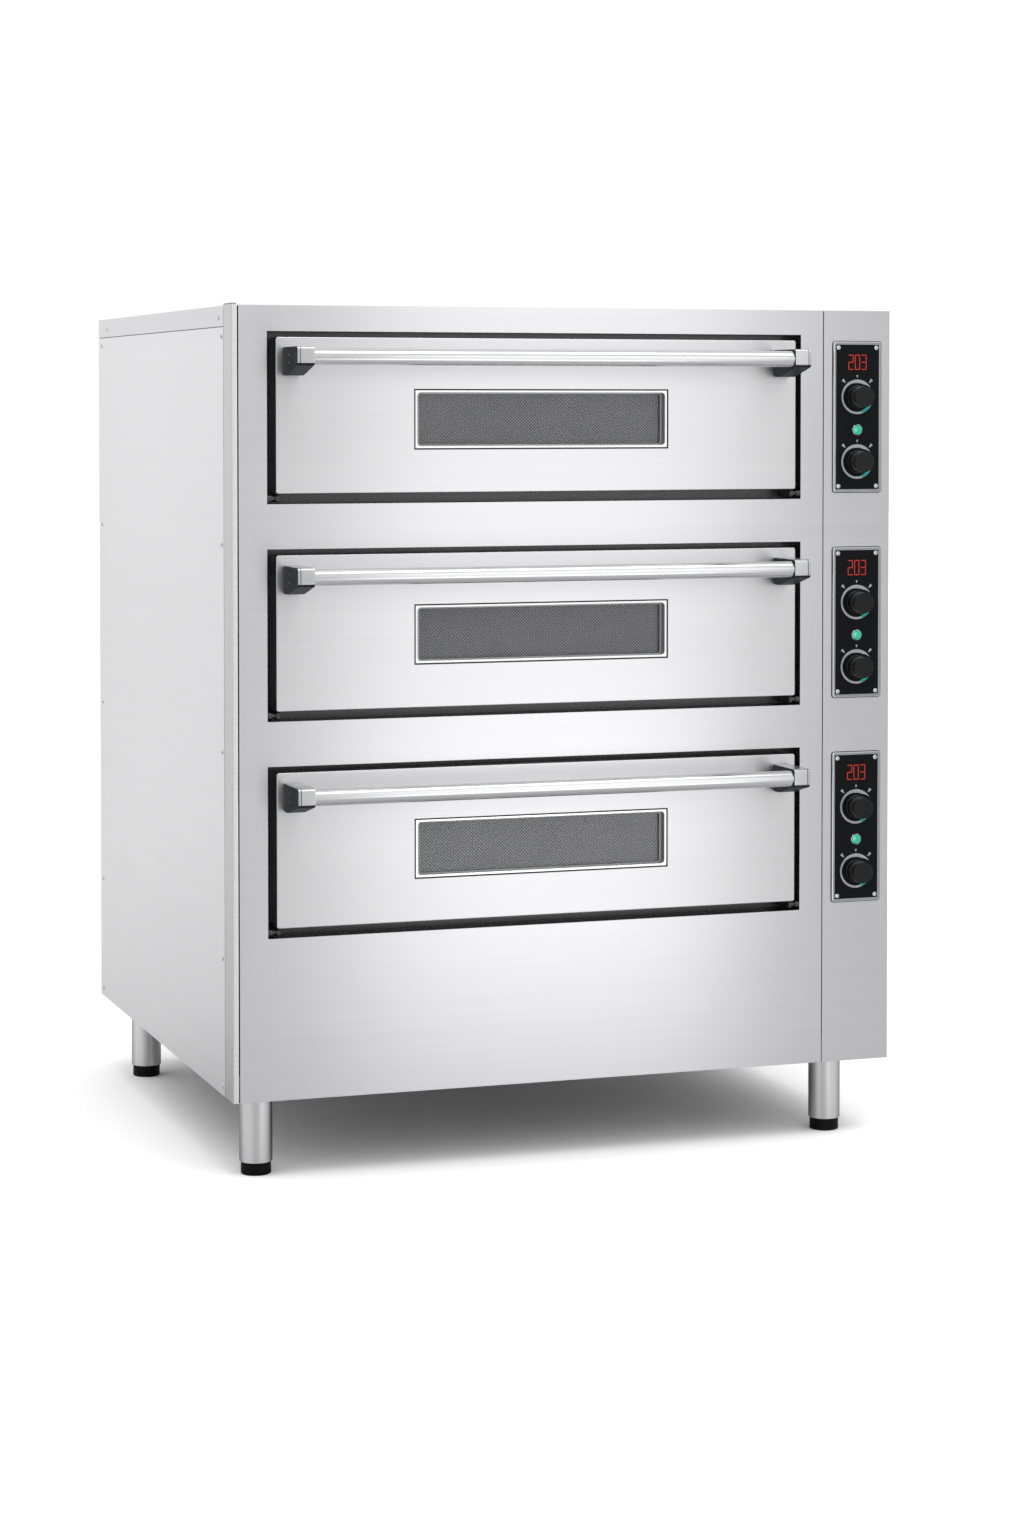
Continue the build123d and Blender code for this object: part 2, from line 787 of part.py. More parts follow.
# The mains gland in the back panel, with its nut inside.
with BuildPart() as cable_gland:
    for start, length, radius in (
        (body_depth, gland_flange, gland_flange_radius),
        (body_depth - gland_thread, gland_thread, gland_thread_radius),
        (body_depth - sheet - gland_nut, gland_nut, gland_nut_radius),
    ):
        with BuildSketch(upright_plane(start)):
            with Locations(gland_place):
                Circle(radius)
        extrude(amount=-length)
    holes_along_y(
        [gland_place], body_depth - gland_thread, gland_thread + gland_flange, gland_bore_radius
    )
save(cable_gland, "cable_gland")

# ---------------------------------------------------------------------------------------------
# Control panels
# ---------------------------------------------------------------------------------------------

plate_width = bezel_width - 2 * bezel_rim
plate_height = bezel_height - 2 * bezel_rim
knob_rises = {"upper_heat": upper_knob_rise, "lower_heat": lower_knob_rise}
knob_places = [(panel_x, z + rise) for z in deck_centres for rise in knob_rises.values()]
display_places = [(panel_x, z + display_rise) for z in deck_centres]
pilot_places = [(panel_x, z + lamp_rise) for z in deck_centres]

with BuildPart() as control_bezels:
    with BuildSketch(upright_plane(0)):
        with Locations(*[(panel_x, z) for z in deck_centres]):
            RectangleRounded(bezel_width, bezel_height, bezel_corner)
            RectangleRounded(plate_width, plate_height, bezel_corner / 2, mode=Mode.SUBTRACT)
    extrude(amount=bezel_thickness)
    bezel_faces = control_bezels.faces().sort_by(Axis.Y)[: len(deck_names)]
    chamfer(bezel_faces.edges(), length=bezel_edge)
save(control_bezels, "control_bezels")

with BuildPart() as control_plates:
    with BuildSketch(upright_plane(0)):
        with Locations(*[(panel_x, z) for z in deck_centres]):
            RectangleRounded(
                plate_width - 2 * plate_gap, plate_height - 2 * plate_gap, bezel_corner / 2 - plate_gap
            )
        with Locations(*display_places):
            Rectangle(display_width + 2 * fit_gap, display_height + 2 * fit_gap, mode=Mode.SUBTRACT)
        with Locations(*pilot_places):
            Circle(pilot_body_radius + fit_gap, mode=Mode.SUBTRACT)
        with Locations(*knob_places):
            Circle(shaft_hole_radius, mode=Mode.SUBTRACT)
        with Locations(*plate_screws):
            Circle(shank_radius + shank_gap, mode=Mode.SUBTRACT)
    extrude(amount=plate_thickness)
save(control_plates, "control_plates")

with BuildPart() as displays:
    with BuildSketch(upright_plane(-plate_thickness - display_proud)):
        with Locations(*display_places):
            Rectangle(display_width, display_height)
    extrude(amount=-display_depth)
save(displays, "displays")

with BuildPart() as indicator_lamps:
    for start, length, radius in (
        (-plate_thickness - pilot_rim, pilot_rim, pilot_rim_radius),
        (-plate_thickness, pilot_body_depth, pilot_body_radius),
        (-plate_thickness - pilot_rim - pilot_dome, pilot_dome, pilot_radius),
    ):
        with BuildSketch(upright_plane(start)):
            with Locations(*pilot_places):
                Circle(radius)
        extrude(amount=-length)
    fillet(indicator_lamps.edges().group_by(Axis.Y)[0], radius=pilot_dome_round)
save(indicator_lamps, "indicator_lamps")

# Heat regulators behind the plates, each with a bush that takes a knob's shaft.
with BuildPart() as heat_regulators:
    with BuildSketch(upright_plane(0)):
        with Locations(*knob_places):
            Circle(regulator_bush_radius)
    extrude(amount=-regulator_bush)
    with BuildSketch(upright_plane(regulator_bush)):
        with Locations(*knob_places):
            Rectangle(regulator_width, regulator_height)
    extrude(amount=-regulator_depth)
    holes_along_y(knob_places, 0, regulator_bore, shaft_radius + shaft_clearance)
save(heat_regulators, "heat_regulators")

# Knobs: a skirt, a smooth grip that tapers a little, and the shaft.
for deck, z in zip(deck_names, deck_centres):
    for heat, rise in knob_rises.items():
        centre = (panel_x, z + rise)
        skirt_plane = upright_plane(-plate_thickness - knob_lift)
        grip_plane = upright_plane(-plate_thickness - knob_lift - knob_skirt)
        with BuildPart() as knob:
            with BuildSketch(skirt_plane):
                with Locations(centre):
                    Circle(knob_radius)
            extrude(amount=knob_skirt)
            chamfer(knob.edges().group_by(Axis.Y)[0], length=knob_edge)
            with BuildSketch(grip_plane):
                with Locations(centre):
                    Circle(knob_grip_radius)
            extrude(amount=knob_height - knob_skirt, taper=knob_taper)
            fillet(knob.faces().sort_by(Axis.Y)[0].edges(), radius=knob_edge)
            with BuildSketch(skirt_plane):
                with Locations(centre):
                    Circle(shaft_radius)
            extrude(amount=-(plate_thickness + knob_lift + shaft_length))
        save(knob, f"knob_{heat}_{deck}")

# ---------------------------------------------------------------------------------------------
# Doors
# ---------------------------------------------------------------------------------------------

bracket_centre = door_width / 2 - bracket_inset - bracket_width / 2
bar_half = bracket_centre - bracket_width / 2 + socket_depth - socket_end_gap
arm_outer = door_width / 2 - door_sheet - nest_gap

for deck, z in zip(deck_names, deck_centres):
    door_z = z + door_rise
    door_top = door_z + door_height / 2
    door_bottom = door_z - door_height / 2
    door_centre = (opening_x, door_z)
    window_centre = (opening_x, z + window_rise)
    liner_inset = door_sheet + nest_gap
    face = front - door_proud

    # The outer pan with the window's hole.
    with BuildPart() as door_skin:
        with BuildSketch(upright_plane(-door_proud)):
            with Locations(door_centre):
                RectangleRounded(door_width, door_height, door_corner)
        extrude(amount=-skin_depth)
        with BuildSketch(upright_plane(-door_proud + door_sheet)):
            with Locations(door_centre):
                RectangleRounded(
                    door_width - 2 * door_sheet, door_height - 2 * door_sheet, door_corner - door_sheet
                )
        extrude(amount=-skin_depth, mode=Mode.SUBTRACT)
        with BuildSketch(upright_plane(-door_proud)):
            with Locations(window_centre):
                Rectangle(window_width, window_height)
        extrude(amount=-door_sheet, mode=Mode.SUBTRACT)
    save(door_skin, f"door_skin_{deck}")

    # The inner pan, nested in the outer one, with its two hinge arms and pins.
    with BuildPart() as door_liner:
        with BuildSketch(upright_plane(-door_proud + liner_start)):
            with Locations(door_centre):
                RectangleRounded(
                    door_width - 2 * liner_inset, door_height - 2 * liner_inset, door_corner - liner_inset
                )
        extrude(amount=-(door_depth - liner_start))
        with BuildSketch(upright_plane(-door_proud + liner_start)):
            with Locations(door_centre):
                Rectangle(
                    door_width - 2 * liner_inset - 2 * door_sheet,
                    door_height - 2 * liner_inset - 2 * door_sheet,
                )
        extrude(amount=-(door_depth - liner_start - door_sheet), mode=Mode.SUBTRACT)
        with BuildSketch(upright_plane(door_rear - door_sheet)):
            with Locations(window_centre):
                Rectangle(sleeve_width + 2 * sleeve_gap, sleeve_height + 2 * sleeve_gap)
        extrude(amount=-door_sheet, mode=Mode.SUBTRACT)
        hinge = (front + hinge_set_back, z + hinge_rise)
        arm_back = front + door_rear
        riser = front - door_proud + skin_depth + arm_gap
        for side in (-1, 1):
            outer = opening_x + side * arm_outer
            inner = outer - side * arm_thickness
            with BuildSketch(Plane.YZ.offset(min(outer, inner))):
                with Locations(hinge):
                    Circle(arm_radius)
                with BuildLine():
                    Polyline(
                        (hinge[0], hinge[1] - arm_radius),
                        (arm_back, hinge[1] - arm_radius),
                        (arm_back, door_bottom + liner_inset + door_sheet / 2),
                        (riser, door_bottom + liner_inset + door_sheet / 2),
                        (riser, door_bottom - arm_gap),
                        (hinge[0], door_bottom - arm_gap),
                        close=True,
                    )
                make_face()
            extrude(amount=arm_thickness)
            pin_length = opening_width / 2 - arm_outer - pin_end_gap
            with BuildSketch(Plane.YZ.offset(outer)):
                with Locations(hinge):
                    Circle(pin_radius)
            extrude(amount=side * pin_length)
    save(door_liner, f"door_liner_{deck}")

    # Mineral wool between the two pans.
    with BuildPart() as door_insulation:
        with BuildSketch(upright_plane(-door_proud + door_sheet)):
            with Locations(door_centre):
                Rectangle(
                    door_width - 2 * liner_inset - 2 * door_sheet - 2 * nest_gap,
                    door_height - 2 * liner_inset - 2 * door_sheet - 2 * nest_gap,
                )
            with Locations(window_centre):
                Rectangle(
                    sleeve_width + 2 * sleeve_gap, sleeve_height + 2 * sleeve_gap, mode=Mode.SUBTRACT
                )
        extrude(amount=-(door_depth - 2 * door_sheet))
        with BuildSketch(upright_plane(-door_proud + door_sheet)):
            with Locations(window_centre):
                Rectangle(flange_width + 2 * sleeve_gap, flange_height + 2 * sleeve_gap)
        extrude(amount=-window_sheet, mode=Mode.SUBTRACT)
    save(door_insulation, f"door_insulation_{deck}")

    # The window's frame: a lip in the skin's hole, a flange behind the skin, a ledge that the outer pane
    # lies against, and a sleeve to the inner pan.
    with BuildPart() as window_frame:
        for wide, high, near, far in (
            (lip_width, lip_height, lip_set_back, door_sheet + window_sheet),
            (flange_width, flange_height, door_sheet, door_sheet + window_sheet),
            (sleeve_width, sleeve_height, door_sheet, door_depth),
        ):
            with BuildSketch(upright_plane(-door_proud + near)):
                with Locations(window_centre):
                    Rectangle(wide, high)
                    RectangleRounded(bore_width, bore_height, lip_corner, mode=Mode.SUBTRACT)
            extrude(amount=near - far)
        chamfer(window_frame.faces().sort_by(Axis.Y)[0].edges(), length=lip_edge)
        with BuildSketch(upright_plane(-door_proud + ledge_depth)):
            with Locations(window_centre):
                Rectangle(sleeve_width, sleeve_height)
                RectangleRounded(
                    bore_width - 2 * ledge_wide,
                    bore_height - 2 * ledge_high,
                    lip_corner - ledge_high,
                    mode=Mode.SUBTRACT,
                )
        extrude(amount=-window_sheet)
    save(window_frame, f"window_frame_{deck}")

    pane_width = bore_width - 2 * glass_gap
    pane_height = bore_height - 2 * glass_gap
    pane_corner = lip_corner - glass_gap
    with BuildPart() as window_glass:
        for depth in (outer_glass_recess, inner_glass_recess):
            with BuildSketch(upright_plane(-door_proud + depth)):
                with Locations(window_centre):
                    RectangleRounded(pane_width, pane_height, pane_corner)
            extrude(amount=-glass_thickness)
    save(window_glass, f"window_glass_{deck}")

    with BuildPart() as window_screen:
        behind_pane = outer_glass_recess + glass_thickness + screen_space
        with BuildSketch(upright_plane(-door_proud + behind_pane)):
            with Locations(window_centre):
                RectangleRounded(pane_width, pane_height, pane_corner)
        extrude(amount=-screen_thickness)
    save(window_screen, f"window_screen_{deck}")

    # Handle: two end brackets with sockets, and a tube between them.
    bar_place = (face - bar_reach, door_top - bar_drop)
    with BuildPart() as handle_brackets:
        high = door_top - bracket_drop
        for side in (-1, 1):
            start = opening_x + side * bracket_centre - bracket_width / 2
            with BuildSketch(Plane.YZ.offset(start)):
                with BuildLine():
                    Polyline(
                        (face, high),
                        (face - bracket_reach, high),
                        (face - bracket_reach, high - bracket_nose),
                        (face - bracket_step, high - bracket_height),
                        (face, high - bracket_height),
                        close=True,
                    )
                make_face()
            extrude(amount=bracket_width)
        chamfer(handle_brackets.edges().filter_by(Axis.X).group_by(Axis.Y)[0], length=bracket_chamfer)
        for side in (-1, 1):
            inner = opening_x + side * (bracket_centre - bracket_width / 2)
            with BuildSketch(Plane.YZ.offset(inner)):
                with Locations(bar_place):
                    Circle(bar_radius + socket_gap)
            extrude(amount=side * socket_depth, mode=Mode.SUBTRACT)
    save(handle_brackets, f"handle_brackets_{deck}")

    with BuildPart() as handle_bar:
        with BuildSketch(Plane.YZ.offset(opening_x - bar_half)):
            with Locations(bar_place):
                Circle(bar_radius)
                Circle(bar_radius - bar_wall, mode=Mode.SUBTRACT)
        extrude(amount=2 * bar_half)
    save(handle_bar, f"handle_bar_{deck}")

# ---------------------------------------------------------------------------------------------
# Screws: pan heads outside the sheet and a shank through it
# ---------------------------------------------------------------------------------------------

plate_face = -plate_thickness
with BuildPart() as screws:
    for surface, away in ((left, -1), (right, 1)):
        with BuildSketch(Plane.YZ.offset(surface)):
            with Locations(*side_screws, *roof_screws):
                Circle(screw_head_radius)
        extrude(amount=away * screw_head)
        with BuildSketch(Plane.YZ.offset(surface)):
            with Locations(*side_screws, *roof_screws):
                Circle(shank_radius)
        extrude(amount=-away * shank_length)
    for places, depth, away in ((back_screws, body_depth, -1), (plate_screws, plate_face, 1)):
        with BuildSketch(upright_plane(depth)):
            with Locations(*places):
                Circle(screw_head_radius)
        extrude(amount=away * screw_head)
        with BuildSketch(upright_plane(depth)):
            with Locations(*places):
                Circle(shank_radius)
        extrude(amount=-away * shank_length)
save(screws, "screws")
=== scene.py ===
import math

import bpy
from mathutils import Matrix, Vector


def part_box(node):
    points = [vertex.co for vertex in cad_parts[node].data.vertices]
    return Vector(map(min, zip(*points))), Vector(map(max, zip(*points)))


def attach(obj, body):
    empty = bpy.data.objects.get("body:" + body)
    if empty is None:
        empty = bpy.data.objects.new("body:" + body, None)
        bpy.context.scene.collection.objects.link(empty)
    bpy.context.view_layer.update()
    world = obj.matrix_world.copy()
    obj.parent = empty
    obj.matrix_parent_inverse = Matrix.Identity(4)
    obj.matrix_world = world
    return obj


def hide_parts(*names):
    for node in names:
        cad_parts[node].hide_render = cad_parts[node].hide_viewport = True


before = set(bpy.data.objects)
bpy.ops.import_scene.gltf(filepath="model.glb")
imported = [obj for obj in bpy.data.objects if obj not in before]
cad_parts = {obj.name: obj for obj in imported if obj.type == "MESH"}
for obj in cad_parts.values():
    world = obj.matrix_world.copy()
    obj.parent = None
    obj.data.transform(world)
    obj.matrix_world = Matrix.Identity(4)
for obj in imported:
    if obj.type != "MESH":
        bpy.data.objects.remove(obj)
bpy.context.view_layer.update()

# ---------------------------------------------------------------------------------------------
# Studio: a pale floor that runs into a white backdrop, soft daylight from all round, a tall soft
# box in front and a wide one overhead. The camera stands to the left of the doors.
# ---------------------------------------------------------------------------------------------


class Reading:
    """An output of a node. Sums with numbers or other readings add Math nodes."""

    def __init__(self, recipe, socket):
        self.recipe = recipe
        self.socket = socket

    def sum(self, operation, first, second):
        return self.recipe.add("Math", {"operation": operation}, {0: first, 1: second})

    def __add__(self, other):
        return self.sum("ADD", self, other)

    def __mul__(self, other):
        return self.sum("MULTIPLY", self, other)

    def __sub__(self, other):
        return self.sum("SUBTRACT", self, other)

    def __rsub__(self, other):
        return self.sum("SUBTRACT", other, self)

    __radd__ = __add__
    __rmul__ = __mul__


class Recipe:
    """The nodes of a material or of the world."""

    def __init__(self, owner):
        self.owner = owner
        owner.use_nodes = True
        self.tree = owner.node_tree
        self.tree.nodes.clear()

    def add(self, kind, settings=(), sockets=(), output=0):
        """Add a node of any type: first its settings, then the values or links of its sockets."""
        node = self.tree.nodes.new("ShaderNode" + kind)
        for name, value in dict(settings).items():
            setattr(node, name, value)
        for name, value in dict(sockets).items():
            if isinstance(value, Reading):
                self.tree.links.new(value.socket, node.inputs[name])
            else:
                node.inputs[name].default_value = value
        return Reading(self, node.outputs[output]) if node.outputs else node

    def blend(self, mask, low, high):
        """The colour low where the mask is 0 and high where it is 1."""
        return self.add("Mix", {"data_type": "RGBA"}, {0: mask, 6: low, 7: high}, output=2)

    def noise(self, stretch, detail=2.0):
        """A cloudy pattern on the object's own place, with a scale for each axis."""
        place = self.add("TexCoord", output="Object")
        place = self.add("Mapping", sockets={"Vector": place, "Scale": stretch})
        return self.add("TexNoise", sockets={"Vector": place, "Scale": 1.0, "Detail": detail})

    def remap(self, value, low, high, new_low, new_high):
        return self.add("MapRange", sockets={0: value, 1: low, 2: high, 3: new_low, 4: new_high})


camera = bpy.data.objects.new("camera", bpy.data.cameras.new("camera"))
bpy.context.scene.collection.objects.link(camera)
bpy.context.scene.camera = camera
look_down = 1.807  # degrees below level
look_right = 18.94  # degrees away from straight at the doors
camera.location = (-1.9299, -5.8150, 1.3180)
camera.rotation_euler = (math.radians(90 - look_down), 0, math.radians(-look_right))
camera.data.sensor_width = 36
camera.data.lens = 75.94
camera.data.shift_y = -0.17
bpy.context.scene.view_settings.view_transform = "Standard"

backdrop_light = 0.89  # behind the oven
room_light = 0.75  # in front of it
sky_light = 1.9  # overhead, on matt surfaces only
backdrop_white = 1.02  # as the camera sees it
daylight = Recipe(bpy.data.worlds.new("daylight"))
bpy.context.scene.world = daylight.owner
direction = daylight.add("TexCoord", output="Generated")
depth = daylight.add("SeparateXYZ", sockets={0: direction}, output="Y")
height = daylight.add("SeparateXYZ", sockets={0: direction}, output="Z")
depth = daylight.remap(depth, -0.3, 0.6, room_light, backdrop_light)
height = daylight.remap(height, 0.08, 1.0, 0.0, sky_light)
seen = daylight.add("LightPath", output="Is Camera Ray")
matt = daylight.add("LightPath", output="Is Diffuse Ray")
strength = depth * (1 - seen) * (1 - matt) + height * matt + seen * backdrop_white
backdrop = daylight.add("Background", sockets={"Color": (1, 1, 1, 1), "Strength": strength})
daylight.add("OutputWorld", sockets={"Surface": backdrop})
daylight.owner.cycles.sampling_method = "NONE"

# The floor shows white to the camera and a softer grey in the steel's reflections.
floor_white = 1.12
floor_grey = 0.44  # in front of the oven
floor_pale = 0.63  # behind it
bpy.ops.object.select_all(action="DESELECT")
bpy.ops.mesh.primitive_plane_add(size=60)
floor = bpy.context.active_object
floor.name = "studio_floor"
paint = Recipe(bpy.data.materials.new("pale_floor"))
seen = paint.add("LightPath", output="Is Camera Ray")
depth = paint.add("SeparateXYZ", sockets={0: paint.add("TexCoord", output="Object")}, output="Y")
depth = paint.remap(depth, -0.6, 0.9, 0, 1)
shade = paint.blend(depth, (floor_grey,) * 3 + (1,), (floor_pale,) * 3 + (1,))
shade = paint.blend(seen, shade, (floor_white,) * 3 + (1,))
paint.add("OutputMaterial", sockets={"Surface": paint.add("BsdfDiffuse", sockets={"Color": shade})})
floor.data.materials.append(paint.owner)

# Each soft box: name, place, the point it faces, width and height, watts, and tilt in degrees.
for name, place, aim, size, power, tilt in (
    ("front_soft_box", (0.51, -2.05, 1.12), (-0.04, -0.52, 1.12), (0.90, 2.2), 4.1, -4),
    ("low_soft_box", (0.47, -2.00, 0.24), (-0.04, -0.52, 0.24), (0.80, 0.5), 0.9, 0),
    ("side_soft_box", (-1.35, 2.75, 0.9), (-0.61, -0.05, 0.9), (0.5, 1.9), 0.6, 0),
    ("overhead_soft_box", (0.3, -1.9, 4.2), (0.0, 0.0, 0.8), (3.0, 1.6), 34, 0),
):
    lamp = bpy.data.lights.new(name, "AREA")
    lamp.shape = "RECTANGLE"
    lamp.size, lamp.size_y = size
    lamp.energy = power
    holder = bpy.data.objects.new(name, lamp)
    bpy.context.scene.collection.objects.link(holder)
    holder.location = place
    holder.rotation_euler = (Vector(aim) - Vector(place)).to_track_quat("-Z", "Y").to_euler()
    holder.rotation_euler.rotate_axis("Z", math.radians(tilt))
    holder.visible_camera = False

# ---------------------------------------------------------------------------------------------
# Casing: folded sheets of brushed stainless steel, 1.5 mm thick, screwed to the frame inside. The
# grain runs level, round the front and the sides alike. Every cut edge is a little rounded.
# ---------------------------------------------------------------------------------------------


def set_mode(name):
    """Switch the active piece to EDIT or OBJECT mode."""
    bpy.ops.object.mode_set(mode=name)


def select_nothing():
    bpy.ops.object.select_all(action="DESELECT")


def settle():
    """Apply the active piece's location, rotation and scale to its mesh."""
    bpy.ops.object.transform_apply(location=True, rotation=True, scale=True)


def thickened(piece, thickness):
    """Give a flat piece a thickness, half of it on each side."""
    sheet = piece.modifiers.new("sheet", "SOLIDIFY")
    sheet.thickness = thickness
    sheet.offset = 0
    bpy.ops.object.modifier_apply(modifier="sheet")


def joined(pieces, name):
    """Join pieces into one, which takes the first one's place."""
    select_nothing()
    for piece in pieces:
        piece.select_set(True)
    bpy.context.view_layer.objects.active = pieces[0]
    bpy.ops.object.join()
    piece = bpy.context.active_object
    piece.name = name
    return piece


def smooth_shading(piece, angle):
    """Smooth the rounded edges and keep the flat faces flat."""
    bpy.ops.object.shade_smooth_by_angle(angle=math.radians(angle))
    flat = piece.modifiers.new("flat_faces", "WEIGHTED_NORMAL")
    flat.keep_sharp = True
    flat.weight = 100
    bpy.ops.object.modifier_apply(modifier="flat_faces")


merge_distance = 0.00001
same_plane = math.radians(1)
sharp_edge = math.radians(40)


def rounded_copy(node, name, edge, steps=2, smooth=35):
    """A copy of a CAD node with its triangles merged into whole faces and its edges rounded."""
    select_nothing()
    piece = bpy.data.objects.new(name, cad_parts[node].data.copy())
    bpy.context.scene.collection.objects.link(piece)
    bpy.context.view_layer.objects.active = piece
    piece.select_set(True)
    piece.data.materials.clear()
    bpy.ops.mesh.customdata_custom_splitnormals_clear()
    set_mode("EDIT")
    bpy.ops.mesh.select_all(action="SELECT")
    bpy.ops.mesh.remove_doubles(threshold=merge_distance)
    bpy.ops.mesh.dissolve_limited(angle_limit=same_plane)
    set_mode("OBJECT")
    if edge:
        rounding = piece.modifiers.new("rounding", "BEVEL")
        rounding.width = edge
        rounding.segments = steps
        rounding.limit_method = "ANGLE"
        rounding.angle_limit = sharp_edge
        bpy.ops.object.modifier_apply(modifier="rounding")
    smooth_shading(piece, smooth)
    return piece


def finished(piece, material, body, slot, *nodes):
    """Give a piece its material and its body, and hide the CAD nodes that it stands for. The slot
    is not used.
    """
    piece.data.materials.append(material)
    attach(piece, body)
    if nodes:
        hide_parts(*nodes)
    return piece


streak_share = 0.16  # of the fine grain's scale
cloud_scale = (2.3, 2.3, 2.3)


def steel(name, colour, rough, grain, across=0.0, hair=0.03, relief=0.03, tint=0.022):
    """Stainless steel, with the scale of its brushed grain on each axis.

    Across is how far highlights spread over the grain, hair and tint are the changes in
    roughness and in colour, and relief is the depth of the bump.
    """
    recipe = Recipe(bpy.data.materials.new(name))
    fine = recipe.noise(grain, 3.0)
    streak = recipe.noise([g * streak_share for g in grain], 2.0)
    cloud = recipe.noise(cloud_scale, 3.0)
    mask = recipe.remap(fine * 0.45 + streak * 0.35 + cloud * 0.2, 0.35, 0.65, 0, 1)
    low = [c * (1 - tint) for c in colour] + [1]
    high = [min(1, c * (1 + tint)) for c in colour] + [1]
    uneven = fine * 0.6 + cloud * 0.4
    bump = recipe.add("Bump", sockets={"Height": fine, "Strength": relief, "Distance": 0.0002})
    shader = recipe.add(
        "BsdfPrincipled",
        sockets={
            "Base Color": recipe.blend(mask, low, high),
            "Metallic": 1.0,
            "Roughness": recipe.remap(uneven, 0.3, 0.7, rough - hair, rough + hair),
            "Anisotropic": across,
            "Anisotropic Rotation": 0.25,
            "Normal": bump,
        },
    )
    recipe.add("OutputMaterial", sockets={"Surface": shader})
    return recipe.owner


level_grain = (5.0, 5.0, 900.0)
fold_edge = 0.0005
cut_edge = 0.0004
casing_colour = (0.735, 0.731, 0.745)
brushed_casing = steel("brushed_casing", casing_colour, 0.34, level_grain, across=0.7)
brushed_roof = steel("brushed_roof", casing_colour, 0.36, (5.0, 900.0, 5.0))
for node, name, edge, material in (
    ("front_fascia", "fascia_sheet", fold_edge, brushed_casing),
    ("control_column_front", "column_sheet", fold_edge, brushed_casing),
    ("left_side_panel", "left_sheet", fold_edge, brushed_casing),
    ("right_side_panel", "right_sheet", fold_edge, brushed_casing),
    ("back_panel", "back_sheet", fold_edge, brushed_casing),
    ("top_panel", "roof_sheet", fold_edge, brushed_roof),
    ("bottom_panel", "base_sheet", cut_edge, brushed_roof),
):
    finished(rounded_copy(node, name, edge), material, "casing", "casing_steel", node)

# The corner post is a folded strip with a thin near-black strip on its upper end, painted shade for
# the dark line along its top edge. Its front fold is near white, a painted highlight along the
# rounded corner, and the steel behind the fold is a darker brushed steel than the casing's.
cap_height = 0.0014
cap_edge = 0.0004
front_lap = 0.0014  # the front fold reaches a little towards the fascia
near = 0.001
post_low, post_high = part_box("corner_post")
brushed_post = steel("brushed_post", (0.53, 0.527, 0.536), 0.32, level_grain, across=0.6)
post = rounded_copy("corner_post", "corner_post_sheet", fold_edge)
for corner in post.data.vertices:
    if corner.co.z > post_high.z - near:
        corner.co.z -= cap_height
    if corner.co.y < post_low.y + near and corner.co.x > post_high.x - near:
        corner.co.x += front_lap
finished(post, brushed_post, "casing", "casing_steel", "corner_post")
fold_painted_highlight = steel(
    "fold_painted_highlight", (0.95, 0.948, 0.955), 0.28, level_grain, across=0.6, relief=0.0, tint=0.01
)
# Painted highlight: the faces that look to the front get the near-white copy of the steel.
post.data.materials.append(fold_painted_highlight)
for face in post.data.polygons:
    face.material_index = int(face.normal.y < -0.6)

# Painted shade: a near-black strip stands for the dark line along the post's top edge.
top_strip_painted_shade = Recipe(bpy.data.materials.new("post_top_painted_shade"))
mottle = top_strip_painted_shade.noise((900, 900, 900))
shader = top_strip_painted_shade.add(
    "BsdfPrincipled",
    sockets={
        "Base Color": top_strip_painted_shade.blend(mottle, (0.08, 0.078, 0.08, 1), (0.10, 0.098, 0.10, 1)),
        "Roughness": top_strip_painted_shade.remap(mottle, 0.3, 0.7, 0.4, 0.55),
    },
)
top_strip_painted_shade.add("OutputMaterial", sockets={"Surface": shader})
select_nothing()
bpy.ops.mesh.primitive_cube_add(size=1)
cap = bpy.context.active_object
cap.name = "corner_post_cap"
cap.dimensions = (post_high.x - post_low.x, post_high.y - post_low.y, cap_height)
cap.location = (post_low + post_high) / 2
cap.location.z = post_high.z - cap_height / 2
settle()
set_mode("EDIT")
bpy.ops.mesh.select_all(action="SELECT")
bpy.ops.mesh.bevel(offset=cap_edge, segments=2)
set_mode("OBJECT")
bpy.ops.object.shade_smooth_by_angle(angle=math.radians(35))
finished(cap, top_strip_painted_shade.owner, "casing", "casing_steel")

# ---------------------------------------------------------------------------------------------
# Louvres: on the right side, vanes pressed inwards behind each slot. They slope down and outwards,
# so that warm air from the wiring space leaves and nothing drips in.
# ---------------------------------------------------------------------------------------------

